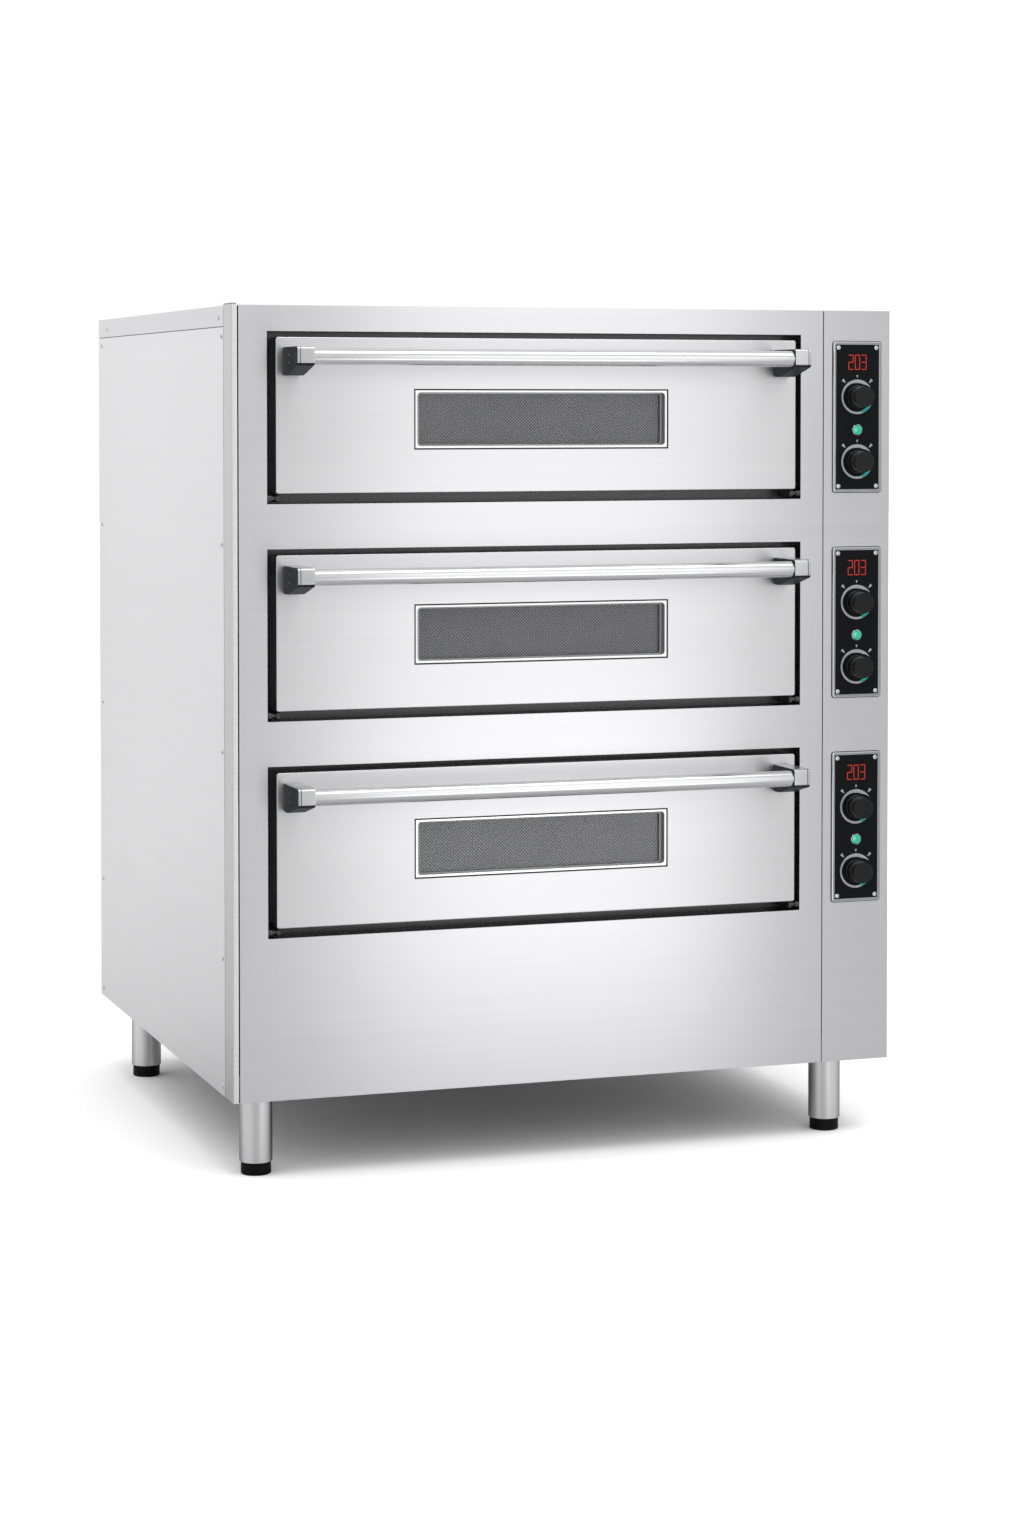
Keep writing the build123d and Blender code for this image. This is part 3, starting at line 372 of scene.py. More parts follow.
vane_length = 0.086
vane_width = 0.010
vane_sheet = 0.001
vane_depth = 0.0052  # from the panel's face to the vane's centre
vane_tilt = math.radians(52)
slot_pitch = 0.016
column_pitch = 0.120
slot_rows = 10
slot_columns = 3
bank_drop = 0.300  # from the roof to the upper bank's centre
bank_rise = 0.300  # from the underside to the lower bank's centre
panel_low, panel_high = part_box("right_side_panel")
roof_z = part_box("top_panel")[1].z
middle_y = (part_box("front_fascia")[0].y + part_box("back_panel")[1].y) / 2
for name, centre_z in (("lower", panel_low.z + bank_rise), ("upper", roof_z - bank_drop)):
    first_z = centre_z - slot_pitch * (slot_rows - 1) / 2
    first_y = middle_y - column_pitch * (slot_columns - 1) / 2
    select_nothing()
    bpy.ops.mesh.primitive_plane_add(size=1)
    vane = bpy.context.active_object
    vane.name = "louvre_vanes_" + name
    vane.dimensions = (vane_width, vane_length, 0)
    vane.rotation_euler = (0, vane_tilt, 0)
    vane.location = (panel_high.x - vane_depth, first_y, first_z)
    settle()
    for kind, count, step in (
        ("columns", slot_columns, (0, column_pitch, 0)),
        ("rows", slot_rows, (0, 0, slot_pitch)),
    ):
        array = vane.modifiers.new(kind, "ARRAY")
        array.count = count
        array.use_relative_offset = False
        array.use_constant_offset = True
        array.constant_offset_displace = step
        bpy.ops.object.modifier_apply(modifier=kind)
    thickened(vane, vane_sheet)
    finished(vane, brushed_roof, "casing", "casing_steel")

# ---------------------------------------------------------------------------------------------
# Screws: bright zinc pan heads with a cross recess, turned a little differently each time. They
# hold the side panels, the roof, the back and the control plates.
# ---------------------------------------------------------------------------------------------

head_radius = 0.004
head_height = 0.0015
head_round = 0.0007
recess_width = 0.0011
recess_reach = 0.0023
recess_depth = 0.0008
screw_finish = steel("bright_screw", (0.72, 0.72, 0.73), 0.26, (300.0, 300.0, 300.0), hair=0.06)


def pan_head(name):
    """A screw head round the origin, with its top upwards."""
    select_nothing()
    bpy.ops.mesh.primitive_cylinder_add(vertices=20, radius=head_radius, depth=head_height)
    head = bpy.context.active_object
    head.name = name
    set_mode("EDIT")
    bpy.ops.mesh.select_all(action="DESELECT")
    set_mode("OBJECT")
    for face in head.data.polygons:
        face.select = face.normal.z > 0.9
    set_mode("EDIT")
    bpy.ops.mesh.select_mode(type="FACE")
    bpy.ops.mesh.bevel(offset=head_round, segments=3)
    set_mode("OBJECT")
    cross = []
    for wide, long in ((recess_width, recess_reach), (recess_reach, recess_width)):
        bpy.ops.mesh.primitive_cube_add(size=1, location=(0, 0, head_height / 2))
        bar = bpy.context.active_object
        bar.dimensions = (wide, long, recess_depth * 2)
        settle()
        cross.append(bar)
    for bar in cross:
        cut = head.modifiers.new("cut", "BOOLEAN")
        cut.object = bar
        cut.operation = "DIFFERENCE"
        cut.solver = "EXACT"
        bpy.context.view_layer.objects.active = head
        bpy.ops.object.modifier_apply(modifier="cut")
        bpy.data.objects.remove(bar)
    return head


pattern_head = pan_head("screw_pattern")
back_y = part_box("back_panel")[1].y
front_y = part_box("front_fascia")[0].y
left_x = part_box("left_side_panel")[0].x
right_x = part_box("right_side_panel")[1].x
under_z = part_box("left_side_panel")[0].z
body_height = roof_z - under_z
bottom_screw = 0.016  # above the underside
second_screw = 0.236
top_screw = 0.052  # below the roof
screw_span = body_height - top_screw - second_screw
rows = [bottom_screw] + [second_screw + n * screw_span / 3 for n in range(4)]
columns = (front_y + 0.073, back_y - 0.027)
roof_columns = (front_y + 0.092, back_y - 0.076)  # of the two screws in the roof's turned edge
side_places = [(y, under_z + z) for y in columns for z in rows]
side_places += [(y, roof_z - 0.020) for y in roof_columns]
back_columns = (left_x + 0.020, right_x - 0.020)
decks = ("lower", "middle", "upper")
skins = {deck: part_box("door_skin_" + deck) for deck in decks}
bezel_low, bezel_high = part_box("control_bezels")
panel_x = (bezel_low.x + bezel_high.x) / 2
opening_drop = 0.004  # from a door's middle to its opening's
opening_heights = {
    deck: (skins[deck][0].z + skins[deck][1].z) / 2 - opening_drop for deck in decks
}
plate_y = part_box("control_plates")[0].y
casing_places = (
    [((left_x, y, z), (-1, 0, 0)) for y, z in side_places]
    + [((right_x, y, z), (1, 0, 0)) for y, z in side_places]
    + [((x, back_y, under_z + z), (0, 1, 0)) for x in back_columns for z in rows]
)
panel_places = [
    ((panel_x + x, plate_y, z + rise), (0, -1, 0))
    for z in opening_heights.values()
    for x in (-0.037, 0.037)
    for rise in (-0.124, 0.124)
]
turn_step = 0.7
for name, places, nodes in (
    ("casing_screws", casing_places, ["screws"]),
    ("panel_screws", panel_places, []),
):
    copies = []
    for number, (seat, away) in enumerate(places):
        copy = bpy.data.objects.new("screw", pattern_head.data.copy())
        bpy.context.scene.collection.objects.link(copy)
        facing = Vector(away).to_track_quat("Z", "Y").to_matrix().to_4x4()
        spin = facing.Rotation(number * turn_step, 4, "Z")
        copy.data.transform(facing @ spin)
        copy.data.transform(facing.Translation(Vector(seat) + Vector(away) * head_height / 2))
        copies.append(copy)
    piece = joined(copies, name)
    bpy.ops.object.shade_smooth_by_angle(angle=math.radians(30))
    piece.data.materials.clear()
    finished(piece, screw_finish, "casing", "screw_steel", *nodes)
bpy.data.objects.remove(pattern_head)

# ---------------------------------------------------------------------------------------------
# Frame and wiring space: a welded frame of folded channel and the partition behind the control
# column, both painted grey, with three contactors and the heat regulators of moulded plastic.
# ---------------------------------------------------------------------------------------------


def coated(name, low, high, rough, scale=(300, 300, 300), relief=0.1, depth=0.0003, **constants):
    """Paint, plastic, enamel or stone: two near colours in a fine mottle, and a slight relief.

    The constants are further inputs of the shader, with _ for each space in their names.
    """
    recipe = Recipe(bpy.data.materials.new(name))
    mottle = recipe.noise(scale, 3.0)
    cloud = recipe.noise((6.0, 6.0, 6.0), 2.0)
    mask = recipe.remap(mottle * 0.6 + cloud * 0.4, 0.35, 0.65, 0, 1)
    sockets = {
        "Base Color": recipe.blend(mask, tuple(low) + (1,), tuple(high) + (1,)),
        "Roughness": recipe.remap(mottle, 0.3, 0.7, rough - 0.04, rough + 0.06),
        "Normal": recipe.add(
            "Bump", sockets={"Height": mottle, "Strength": relief, "Distance": depth}
        ),
    }
    sockets.update({key.replace("_", " "): value for key, value in constants.items()})
    recipe.add("OutputMaterial", sockets={"Surface": recipe.add("BsdfPrincipled", sockets=sockets)})
    return recipe.owner


def repaint(node, material):
    """Give a CAD node that stays as it is a new material."""
    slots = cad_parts[node].data.materials
    for index in range(len(slots)):
        slots[index] = material
    if not len(slots):
        slots.append(material)


repaint("welded_frame", coated("grey_frame_paint", (0.10, 0.10, 0.105), (0.14, 0.14, 0.145), 0.45))
repaint("partition_wall", steel("partition_steel", (0.55, 0.55, 0.55), 0.45, level_grain))
repaint("contactors", coated("contactor_plastic", (0.32, 0.33, 0.33), (0.38, 0.39, 0.39), 0.5))
repaint("heat_regulators", coated("regulator_resin", (0.66, 0.64, 0.57), (0.72, 0.70, 0.63), 0.5))

# ---------------------------------------------------------------------------------------------
# Legs: brushed stainless tube under each corner, with a black plastic foot that screws in and out
# to level the oven.
# ---------------------------------------------------------------------------------------------

# Painted highlight and shade: the tube's base colour is a little darker along its very middle,
# brightest just beside it, and painted darker towards its sides by how far the surface turns away.
leg_recipe = Recipe(bpy.data.materials.new("brushed_leg_painted_shading"))
turned = leg_recipe.add("LayerWeight", sockets={"Blend": 0.5}, output="Facing")
middle = leg_recipe.remap(turned, 0.0, 0.07, 0.62, 1.0)
shadow = leg_recipe.remap(turned, 0.28, 0.85, 1.0, 0.25)
grain = leg_recipe.noise((900.0, 900.0, 12.0))
painted_sheen_and_shade = leg_recipe.blend(middle * shadow, (0.02, 0.02, 0.02, 1), (0.97, 0.97, 0.98, 1))
shader = leg_recipe.add(
    "BsdfPrincipled",
    sockets={
        "Base Color": leg_recipe.blend(grain * 0.2, painted_sheen_and_shade, (0.55, 0.55, 0.56, 1)),
        "Metallic": 1.0,
        "Roughness": leg_recipe.remap(grain, 0.3, 0.7, 0.28, 0.34),
    },
)
leg_recipe.add("OutputMaterial", sockets={"Surface": shader})
leg_tubes = rounded_copy("leg_tubes", "leg_tube_set", cut_edge)
finished(leg_tubes, leg_recipe.owner, "casing", "leg_steel", "leg_tubes")
foot_plastic = coated(
    "black_foot_plastic",
    (0.002, 0.002, 0.002),
    (0.004, 0.004, 0.004),
    0.42,
    Specular_IOR_Level=0.15,
)
for place in ("front_left", "rear_left", "front_right", "rear_right"):
    node = "levelling_foot_" + place
    foot = rounded_copy(node, "foot_" + place + "_cup", 0.0009, steps=3)
    finished(foot, foot_plastic, "foot_" + place, "foot_black", node)

# ---------------------------------------------------------------------------------------------
# Chambers: black enamelled frames in the openings, heat-stained steel liners, pale baking stones
# on ledges, sheathed elements above and below, a glass-domed lamp each, and mineral wool round all.
# ---------------------------------------------------------------------------------------------

black_enamel = coated(
    "black_enamel_coat",
    (0.007, 0.0068, 0.0064),
    (0.013, 0.0125, 0.012),
    0.26,
    Specular_IOR_Level=1.0,
)
opening_frames = rounded_copy("door_frames", "opening_frames", cut_edge)
finished(opening_frames, black_enamel, "casing", "black_enamel", "door_frames")
liner_steel = steel("heat_stained_steel", (0.50, 0.46, 0.41), 0.42, (4.0, 500.0, 4.0), tint=0.18)
repaint("chamber_liners", liner_steel)
wool = coated(
    "mineral_wool_mat", (0.50, 0.44, 0.27), (0.68, 0.62, 0.44), 0.9, (160, 160, 160), 0.9, 0.003
)
stone = coated(
    "baking_stone", (0.50, 0.43, 0.33), (0.70, 0.64, 0.53), 0.85, (220, 220, 220), 0.5, 0.0008
)
repaint("chamber_insulation", wool)
repaint("hearth_stones", stone)
element_sheath = steel("element_sheath", (0.20, 0.18, 0.165), 0.5, (900.0, 40.0, 40.0), tint=0.2)
elements = rounded_copy("heating_elements", "hairpin_elements", 0)
finished(elements, element_sheath, "casing", "element_steel", "heating_elements")
lamp_dome = coated("lamp_dome_glass", (0.80, 0.76, 0.64), (0.86, 0.82, 0.70), 0.12, Coat_Weight=0.6)
domes = rounded_copy("oven_lamps", "lamp_domes", 0.0003)
finished(domes, lamp_dome, "casing", "lamp_glass", "oven_lamps")

# ---------------------------------------------------------------------------------------------
# Back: three stainless flue spigots with collars, and the black gland for the mains cable.
# ---------------------------------------------------------------------------------------------

spigot_steel = steel("spigot_steel", (0.66, 0.66, 0.67), 0.30, (40.0, 900.0, 40.0))
spigots = rounded_copy("flue_spigots", "flue_spigot_set", cut_edge)
finished(spigots, spigot_steel, "casing", "casing_steel", "flue_spigots")
gland_plastic = coated("gland_nylon", (0.012, 0.012, 0.013), (0.020, 0.020, 0.021), 0.5)
gland = rounded_copy("cable_gland", "mains_gland", 0.0006)
finished(gland, gland_plastic, "casing", "gland_black", "cable_gland")

# ---------------------------------------------------------------------------------------------
# Doors: a brushed outer pan with rolled edges, an inner pan nested in it with two hinge arms, and
# mineral wool between them.
# ---------------------------------------------------------------------------------------------

roll = 0.0013
touch = 0.0001
relief_reach = 0.0045  # the skin's bend reliefs lie within this of its edges
relief_side = 0.004
brushed_door = steel("brushed_door", (0.735, 0.731, 0.742), 0.36, level_grain, across=0.7)
pan_steel = steel("inner_pan_steel", (0.60, 0.585, 0.56), 0.38, (4.0, 4.0, 600.0), tint=0.09)


def to_rim(point, low, high):
    """The distance from a point on a door's face to the nearest side of the door."""
    return min(point.x - low.x, high.x - point.x, point.z - low.z, high.z - point.z)


for deck in decks:
    body = "door_" + deck
    skin = rounded_copy("door_skin_" + deck, "door_pan_" + deck, 0)
    low, high = skins[deck]
    set_mode("EDIT")
    bpy.ops.mesh.select_all(action="DESELECT")
    set_mode("OBJECT")
    corners = skin.data.vertices
    for line in skin.data.edges:
        a, b = (corners[i].co for i in line.vertices)
        on_face = max(a.y, b.y) < low.y + touch
        gaps = to_rim(a, low, high), to_rim(b, low, high)
        along_rim = min(gaps) < touch or (a - b).length < relief_side
        line.select = on_face and max(gaps) < relief_reach and along_rim
    set_mode("EDIT")
    bpy.ops.mesh.select_mode(type="EDGE")
    bpy.ops.mesh.bevel(offset=roll, segments=4)
    set_mode("OBJECT")
    smooth_shading(skin, 35)
    finished(skin, brushed_door, body, "door_steel", "door_skin_" + deck)
    inner = rounded_copy("door_liner_" + deck, "door_inner_pan_" + deck, fold_edge)
    finished(inner, pan_steel, body, "liner_steel", "door_liner_" + deck)
    inner.data.materials.append(black_enamel)  # for the hinge arms, which reach below the door
    for face in inner.data.polygons:
        face.material_index = int(face.center.z < low.z - 0.0005)
    repaint("door_insulation_" + deck, wool)

# ---------------------------------------------------------------------------------------------
# Windows: a satin steel frame with a lip, a black seal between the lip and the door, two panes of
# toughened glass, and a finely perforated steel screen between them.
# ---------------------------------------------------------------------------------------------


def front_rectangle(name, x, y, z, width, height):
    """A rectangle that faces the front, ready to be worked on."""
    select_nothing()
    bpy.ops.mesh.primitive_plane_add(size=1, rotation=(math.pi / 2, 0, 0))
    piece = bpy.context.active_object
    piece.name = name
    piece.scale = (width, height, 1)
    piece.location = (x, y, z)
    settle()
    return piece


def stepped_ring(piece, steps, corner=0.0, corner_steps=5):
    """Turn a flat face into a closed ring: steps are (inset, rise) from its outer edge inwards."""
    set_mode("EDIT")
    bpy.ops.mesh.select_all(action="SELECT")
    if corner:
        bpy.ops.mesh.bevel(offset=corner, segments=corner_steps, affect="VERTICES")
        bpy.ops.mesh.select_all(action="SELECT")
    bpy.ops.mesh.select_mode(type="FACE")
    for inset, rise in steps:
        if inset:
            bpy.ops.mesh.inset(thickness=inset, depth=rise)
        else:
            bpy.ops.mesh.extrude_region_shrink_fatten(TRANSFORM_OT_shrink_fatten={"value": rise})
    bpy.ops.mesh.delete(type="FACE")
    bpy.ops.mesh.select_all(action="DESELECT")
    set_mode("OBJECT")
    corners = piece.data.vertices
    seat = max(corner.co.y for corner in corners)
    for face in piece.data.polygons:
        face.select = all(corners[i].co.y > seat - 0.00001 for i in face.vertices)
    set_mode("EDIT")
    bpy.ops.mesh.delete(type="FACE")
    bpy.ops.mesh.select_mode(type="EDGE")
    bpy.ops.mesh.select_all(action="DESELECT")
    bpy.ops.mesh.select_non_manifold()
    bpy.ops.mesh.bridge_edge_loops()
    bpy.ops.mesh.select_all(action="SELECT")
    bpy.ops.mesh.normals_make_consistent(inside=False)
    set_mode("OBJECT")
    smooth_shading(piece, 50)
    return piece


rim_steel = steel("satin_rim", (0.84, 0.84, 0.845), 0.22, level_grain, hair=0.04)
sleeve_painted_shade = steel("window_sleeve_painted_shade", (0.33, 0.33, 0.34), 0.30, level_grain, hair=0.04)
seal_rubber_and_painted_shadow = coated("black_seal_rubber_and_shadow_gap", (0.012, 0.012, 0.012), (0.020, 0.020, 0.020), 0.55)

pane_glass = Recipe(bpy.data.materials.new("toughened_glass"))
smear = pane_glass.noise((9.0, 9.0, 9.0), 3.0)
clear = pane_glass.add("BsdfTransparent", sockets={"Color": (0.984, 0.983, 0.986, 1)})
gloss = pane_glass.add(
    "BsdfGlossy",
    sockets={
        "Color": (0.9, 0.92, 0.92, 1),
        "Roughness": pane_glass.remap(smear, 0.3, 0.7, 0.03, 0.09),
    },
)
edge_on = pane_glass.add("Fresnel", sockets={"IOR": 1.45})
sheet_glass = pane_glass.add("MixShader", sockets={0: edge_on * 0.8, 1: clear, 2: gloss})
pane_glass.add("OutputMaterial", sockets={"Surface": sheet_glass})

hole_pitch = 0.0041
hole_share = 0.34
screen = Recipe(bpy.data.materials.new("perforated_screen"))
place = screen.add("TexCoord", output="Object")
place = screen.add("Mapping", sockets={"Vector": place, "Rotation": (0, math.radians(45), 0)})
across = screen.add("SeparateXYZ", sockets={0: place}, output="X")
upward = screen.add("SeparateXYZ", sockets={0: place}, output="Z")
flat_place = screen.add("CombineXYZ", sockets={"X": across, "Y": upward})
dots = screen.add(
    "TexVoronoi",
    {"voronoi_dimensions": "2D"},
    {"Vector": flat_place, "Scale": 1 / hole_pitch, "Randomness": 0.0},
    output="Distance",
)
metal = screen.remap(dots, hole_share - 0.06, hole_share + 0.06, 0, 1)
dust = screen.noise((14.0, 14.0, 14.0), 3.0)
web = screen.blend(dust, (0.212, 0.207, 0.214, 1), (0.272, 0.266, 0.275, 1))
relief = screen.add("Bump", sockets={"Height": metal, "Strength": 0.4, "Distance": 0.0004})
# Painted shade: the holes are near black, standing for the dark chamber behind seen through them.
shader = screen.add(
    "BsdfPrincipled",
    sockets={
        "Base Color": screen.blend(metal, (0.035, 0.036, 0.037, 1), web),
        "Roughness": screen.remap(dust, 0.3, 0.7, 0.45, 0.6),
        "Metallic": metal * 0.5,
        "Normal": relief,
    },
)
screen.add("OutputMaterial", sockets={"Surface": shader})

sleeve_depth = 0.0028  # from the lip's face to the darker sleeve
seal_width = 0.0022
seal_height = 0.0009
seal_seat = 0.0014  # behind the door's face
seal_lap = 0.008  # how much narrower than the lip the seal is
for deck in decks:
    body = "door_" + deck
    low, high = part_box("window_frame_" + deck)
    surround = rounded_copy("window_frame_" + deck, "window_surround_" + deck, 0.0003)
    finished(surround, rim_steel, body, "rim_steel", "window_frame_" + deck)
    # Painted shade: the frame's faces deeper than the sleeve depth get a dark copy of the rim
    # steel.
    surround.data.materials.append(sleeve_painted_shade)
    for face in surround.data.polygons:
        face.material_index = int(face.center.y > low.y + sleeve_depth)
    repaint("window_glass_" + deck, pane_glass.owner)
    repaint("window_screen_" + deck, screen.owner)
    face_y = skins[deck][0].y
    seal = front_rectangle(
        "window_seal_" + deck,
        (low.x + high.x) / 2,
        face_y + seal_seat,
        (low.z + high.z) / 2,
        high.x - low.x - seal_lap,
        high.z - low.z - seal_lap,
    )
    seal_steps = [(0, seal_height), (seal_width, 0), (0, -seal_height)]
    stepped_ring(seal, seal_steps, corner=0.0012, corner_steps=2)
    finished(seal, seal_rubber_and_painted_shadow, body, "panel_black")

# ---------------------------------------------------------------------------------------------
# Handles: a brushed tube held at each end in a cast bracket. The brackets have dark slate sides and
# backs, bright front and top faces, a thin dark groove beside the outer edge, and undersides in the
# same dark slate as painted shade.
# ---------------------------------------------------------------------------------------------

bracket_width = 0.030
bracket_reach = 0.095
bracket_nose = 0.031
bracket_height = 0.048
bracket_step = 0.025
bracket_round = 0.0055
groove_in = 0.0045
groove_wide = 0.0012
groove_deep = 0.0008
edge_round = 0.0007
pin_radius = 0.0016
pin_height = 0.0004
tube_wall = 0.0015
tube_bore = 0.020  # how far in the open ends can be seen
bracket_bright = steel("bright_bracket", (0.63, 0.63, 0.64), 0.25, level_grain, hair=0.04)
slate_and_painted_shade = coated(
    "slate_bracket_paint_and_shade",
    (0.008, 0.016, 0.017),
    (0.015, 0.026, 0.028),
    0.45,
    Specular_IOR_Level=0.15,
)
tube_steel = steel(
    "brushed_tube", (0.70, 0.70, 0.71), 0.20, (60, 60, 60), hair=0.02, relief=0.0, tint=0.01
)
for deck in decks:
    body = "door_" + deck
    low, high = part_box("handle_brackets_" + deck)
    ends = []
    for side, outer in ((-1, low.x), (1, high.x)):
        select_nothing()
        bpy.ops.mesh.primitive_cube_add(size=1)
        end = bpy.context.active_object
        end.dimensions = (bracket_width, bracket_reach, bracket_height)
        end.location = (
            outer - side * bracket_width / 2,
            high.y - bracket_reach / 2,
            high.z - bracket_height / 2,
        )
        settle()
        set_mode("EDIT")
        for plane_at, facing in (
            ((0, high.y - bracket_step, 0), (0, 1, 0)),
            ((outer - side * groove_in, 0, 0), (1, 0, 0)),
            ((outer - side * (groove_in + groove_wide), 0, 0), (1, 0, 0)),
        ):
            bpy.ops.mesh.select_all(action="SELECT")
            bpy.ops.mesh.bisect(plane_co=plane_at, plane_no=facing)
        set_mode("OBJECT")
        for corner in end.data.vertices:
            if corner.co.y < high.y - bracket_reach + near and corner.co.z < low.z + near:
                corner.co.z = high.z - bracket_nose
        # First the corners along the bracket's width are rounded, then the rims of its sides.
        for long_edges, offset, segments in ((True, bracket_round, 4), (False, edge_round, 2)):
            set_mode("EDIT")
            bpy.ops.mesh.select_mode(type="EDGE")
            bpy.ops.mesh.select_all(action="DESELECT")
            set_mode("OBJECT")
            corners = end.data.vertices
            for line in end.data.edges:
                a, b = (corners[i].co for i in line.vertices)
                level = abs(a.y - b.y) < 1e-6 and abs(a.z - b.z) < 1e-6
                on_step = abs(a.y - (high.y - bracket_step)) < 1e-5 and a.z > low.z + near
                to_side = min(abs(a.x - outer), abs(a.x - outer + side * bracket_width))
                rim = abs(a.x - b.x) < 1e-6 and to_side < 1e-5
                line.select = (level and not on_step) if long_edges else rim
            set_mode("EDIT")
            bpy.ops.mesh.bevel(offset=offset, segments=segments)
        bpy.ops.mesh.select_mode(type="FACE")
        bpy.ops.mesh.select_all(action="DESELECT")
        set_mode("OBJECT")
        groove_x = outer - side * (groove_in + groove_wide / 2)
        in_groove = groove_wide * 0.45
        for face in end.data.polygons:
            face.select = face.normal.y < -0.9 and abs(face.center.x - groove_x) < in_groove
        set_mode("EDIT")
        sink = {"value": -groove_deep}
        bpy.ops.mesh.extrude_region_shrink_fatten(TRANSFORM_OT_shrink_fatten=sink)
        set_mode("OBJECT")
        smooth_shading(end, 30)
        end.data.materials.append(bracket_bright)
        end.data.materials.append(slate_and_painted_shade)
        # Painted shade: the undersides get the dark slate too, as well as the sides, the backs and
        # the groove.
        for face in end.data.polygons:
            dark = abs(face.normal.x) > 0.9 or face.normal.z < -0.3 or face.normal.y > 0.5
            face.material_index = int(dark or abs(face.center.x - groove_x) < in_groove)
        ends.append(end)
        for rise in (-0.007, 0.007):
            select_nothing()
            bpy.ops.mesh.primitive_cylinder_add(
                vertices=20,
                radius=pin_radius,
                depth=pin_height,
                rotation=(0, side * math.pi / 2, 0),
            )
            pin = bpy.context.active_object
            pin.location = (outer, high.y - 0.040, high.z - 0.020 + rise)
            settle()
            set_mode("EDIT")
            bpy.ops.mesh.select_all(action="SELECT")
            bpy.ops.mesh.bevel(offset=0.0001, segments=1)
            set_mode("OBJECT")
            pin.data.materials.append(bracket_bright)
            ends.append(pin)
    brackets = joined(ends, "handle_bracket_pair_" + deck)
    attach(brackets, body)
    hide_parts("handle_brackets_" + deck)

    low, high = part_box("handle_bar_" + deck)
    select_nothing()
    bpy.ops.mesh.primitive_cylinder_add(
        vertices=64,
        radius=(high.z - low.z) / 2,
        depth=high.x - low.x,
        rotation=(0, math.pi / 2, 0),
    )
    tube = bpy.context.active_object
    tube.name = "handle_tube_" + deck
    tube.location = (low + high) / 2
    settle()
    for face in tube.data.polygons:
        face.select = abs(face.normal.x) > 0.9
    set_mode("EDIT")
    bpy.ops.mesh.select_mode(type="FACE")
    bpy.ops.mesh.inset(thickness=tube_wall, use_individual=True)
    bpy.ops.mesh.extrude_region_shrink_fatten(TRANSFORM_OT_shrink_fatten={"value": -tube_bore})
    set_mode("OBJECT")
    bpy.ops.object.shade_smooth_by_angle(angle=math.radians(30))
    finished(tube, tube_steel, body, "handle_tube", "handle_bar_" + deck)

# ---------------------------------------------------------------------------------------------
# Control panels: a black glossy plate in a satin silver bezel for each deck. Each has a red number
# display, a green pilot lamp, and two dials printed in silver with a teal end.
# ---------------------------------------------------------------------------------------------

bezel_width = bezel_high.x - bezel_low.x
bezel_height = 0.270
bezel_steps = [
    (0, 0.0022), (0.0009, 0.0010), (0.0015, 0),
    (0.0006, -0.0012), (0.0007, 0), (0.0006, 0.0010),
    (0.0009, 0), (0.0003, -0.0018), (0, -0.0011),
]
shadow_gap_steps = [(0, 0.0005), (0.0024, 0), (0, -0.0005)]
shadow_gap_lap = 0.0022  # how much wider than the bezel it is
bezel_satin = steel("satin_bezel", (0.58, 0.585, 0.595), 0.24, (300.0, 300.0, 300.0), hair=0.05)
plate_black = coated(
    "black_panel_gloss",
    (0.0045, 0.0058, 0.0068),
    (0.0060, 0.0078, 0.0090),
    0.30,
    (500.0, 500.0, 500.0),
    0.03,
    Specular_IOR_Level=0.10,
)
display_black = coated(
    "display_window", (0.009, 0.006, 0.006), (0.012, 0.007, 0.007), 0.25, Specular_IOR_Level=0.12
)
for deck, z in opening_heights.items():
    # Painted shadow: a thin black ring round each bezel stands for the shadow gap between bezel and
    # fascia.
    size = (bezel_width + shadow_gap_lap, bezel_height + shadow_gap_lap)
    shadow_gap_ring = front_rectangle("panel_shadow_gap_ring_" + deck, panel_x, front_y, z, *size)
    stepped_ring(shadow_gap_ring, shadow_gap_steps, corner=0.0060)
    finished(shadow_gap_ring, seal_rubber_and_painted_shadow, "casing", "panel_black")
    bezel = front_rectangle("panel_bezel_" + deck, panel_x, front_y, z, bezel_width, bezel_height)
    stepped_ring(bezel, bezel_steps, corner=0.0050)
    nodes = ["control_bezels"] if deck == "lower" else []
    finished(bezel, bezel_satin, "casing", "bezel_silver", *nodes)
plates = rounded_copy("control_plates", "panel_plates", 0.0002)
finished(plates, plate_black, "casing", "panel_black", "control_plates")
repaint("displays", display_black)

# The display's figures, each of up to seven lit bars.
figure_width = 0.0100
figure_height = 0.0270
figure_pitch = 0.0128
bar_wide = 0.0014
bar_thick = 0.0001
display_rise = 0.098
lit_bars = {"2": "abged", "0": "abcdef", "3": "abgcd"}
half = (figure_height - bar_wide) / 2
bar_places = {
    "a": (0, half, 0), "g": (0, 0, 0), "d": (0, -half, 0),
    "f": (-1, half / 2, 1), "b": (1, half / 2, 1), "e": (-1, -half / 2, 1), "c": (1, -half / 2, 1),
}
red_glow = Recipe(bpy.data.materials.new("red_display_glow"))
flicker = red_glow.noise((400.0, 400.0, 400.0), 2.0)
shader = red_glow.add(
    "BsdfPrincipled",
    sockets={
        "Base Color": red_glow.blend(flicker, (0.25, 0.01, 0.01, 1), (0.35, 0.02, 0.015, 1)),
        "Roughness": 0.4,
        "Emission Color": red_glow.blend(
            flicker, (0.62, 0.030, 0.022, 1), (0.78, 0.05, 0.035, 1)
        ),
        "Emission Strength": 0.42,
    },
)
red_glow.add("OutputMaterial", sockets={"Surface": shader})
display_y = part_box("displays")[0].y
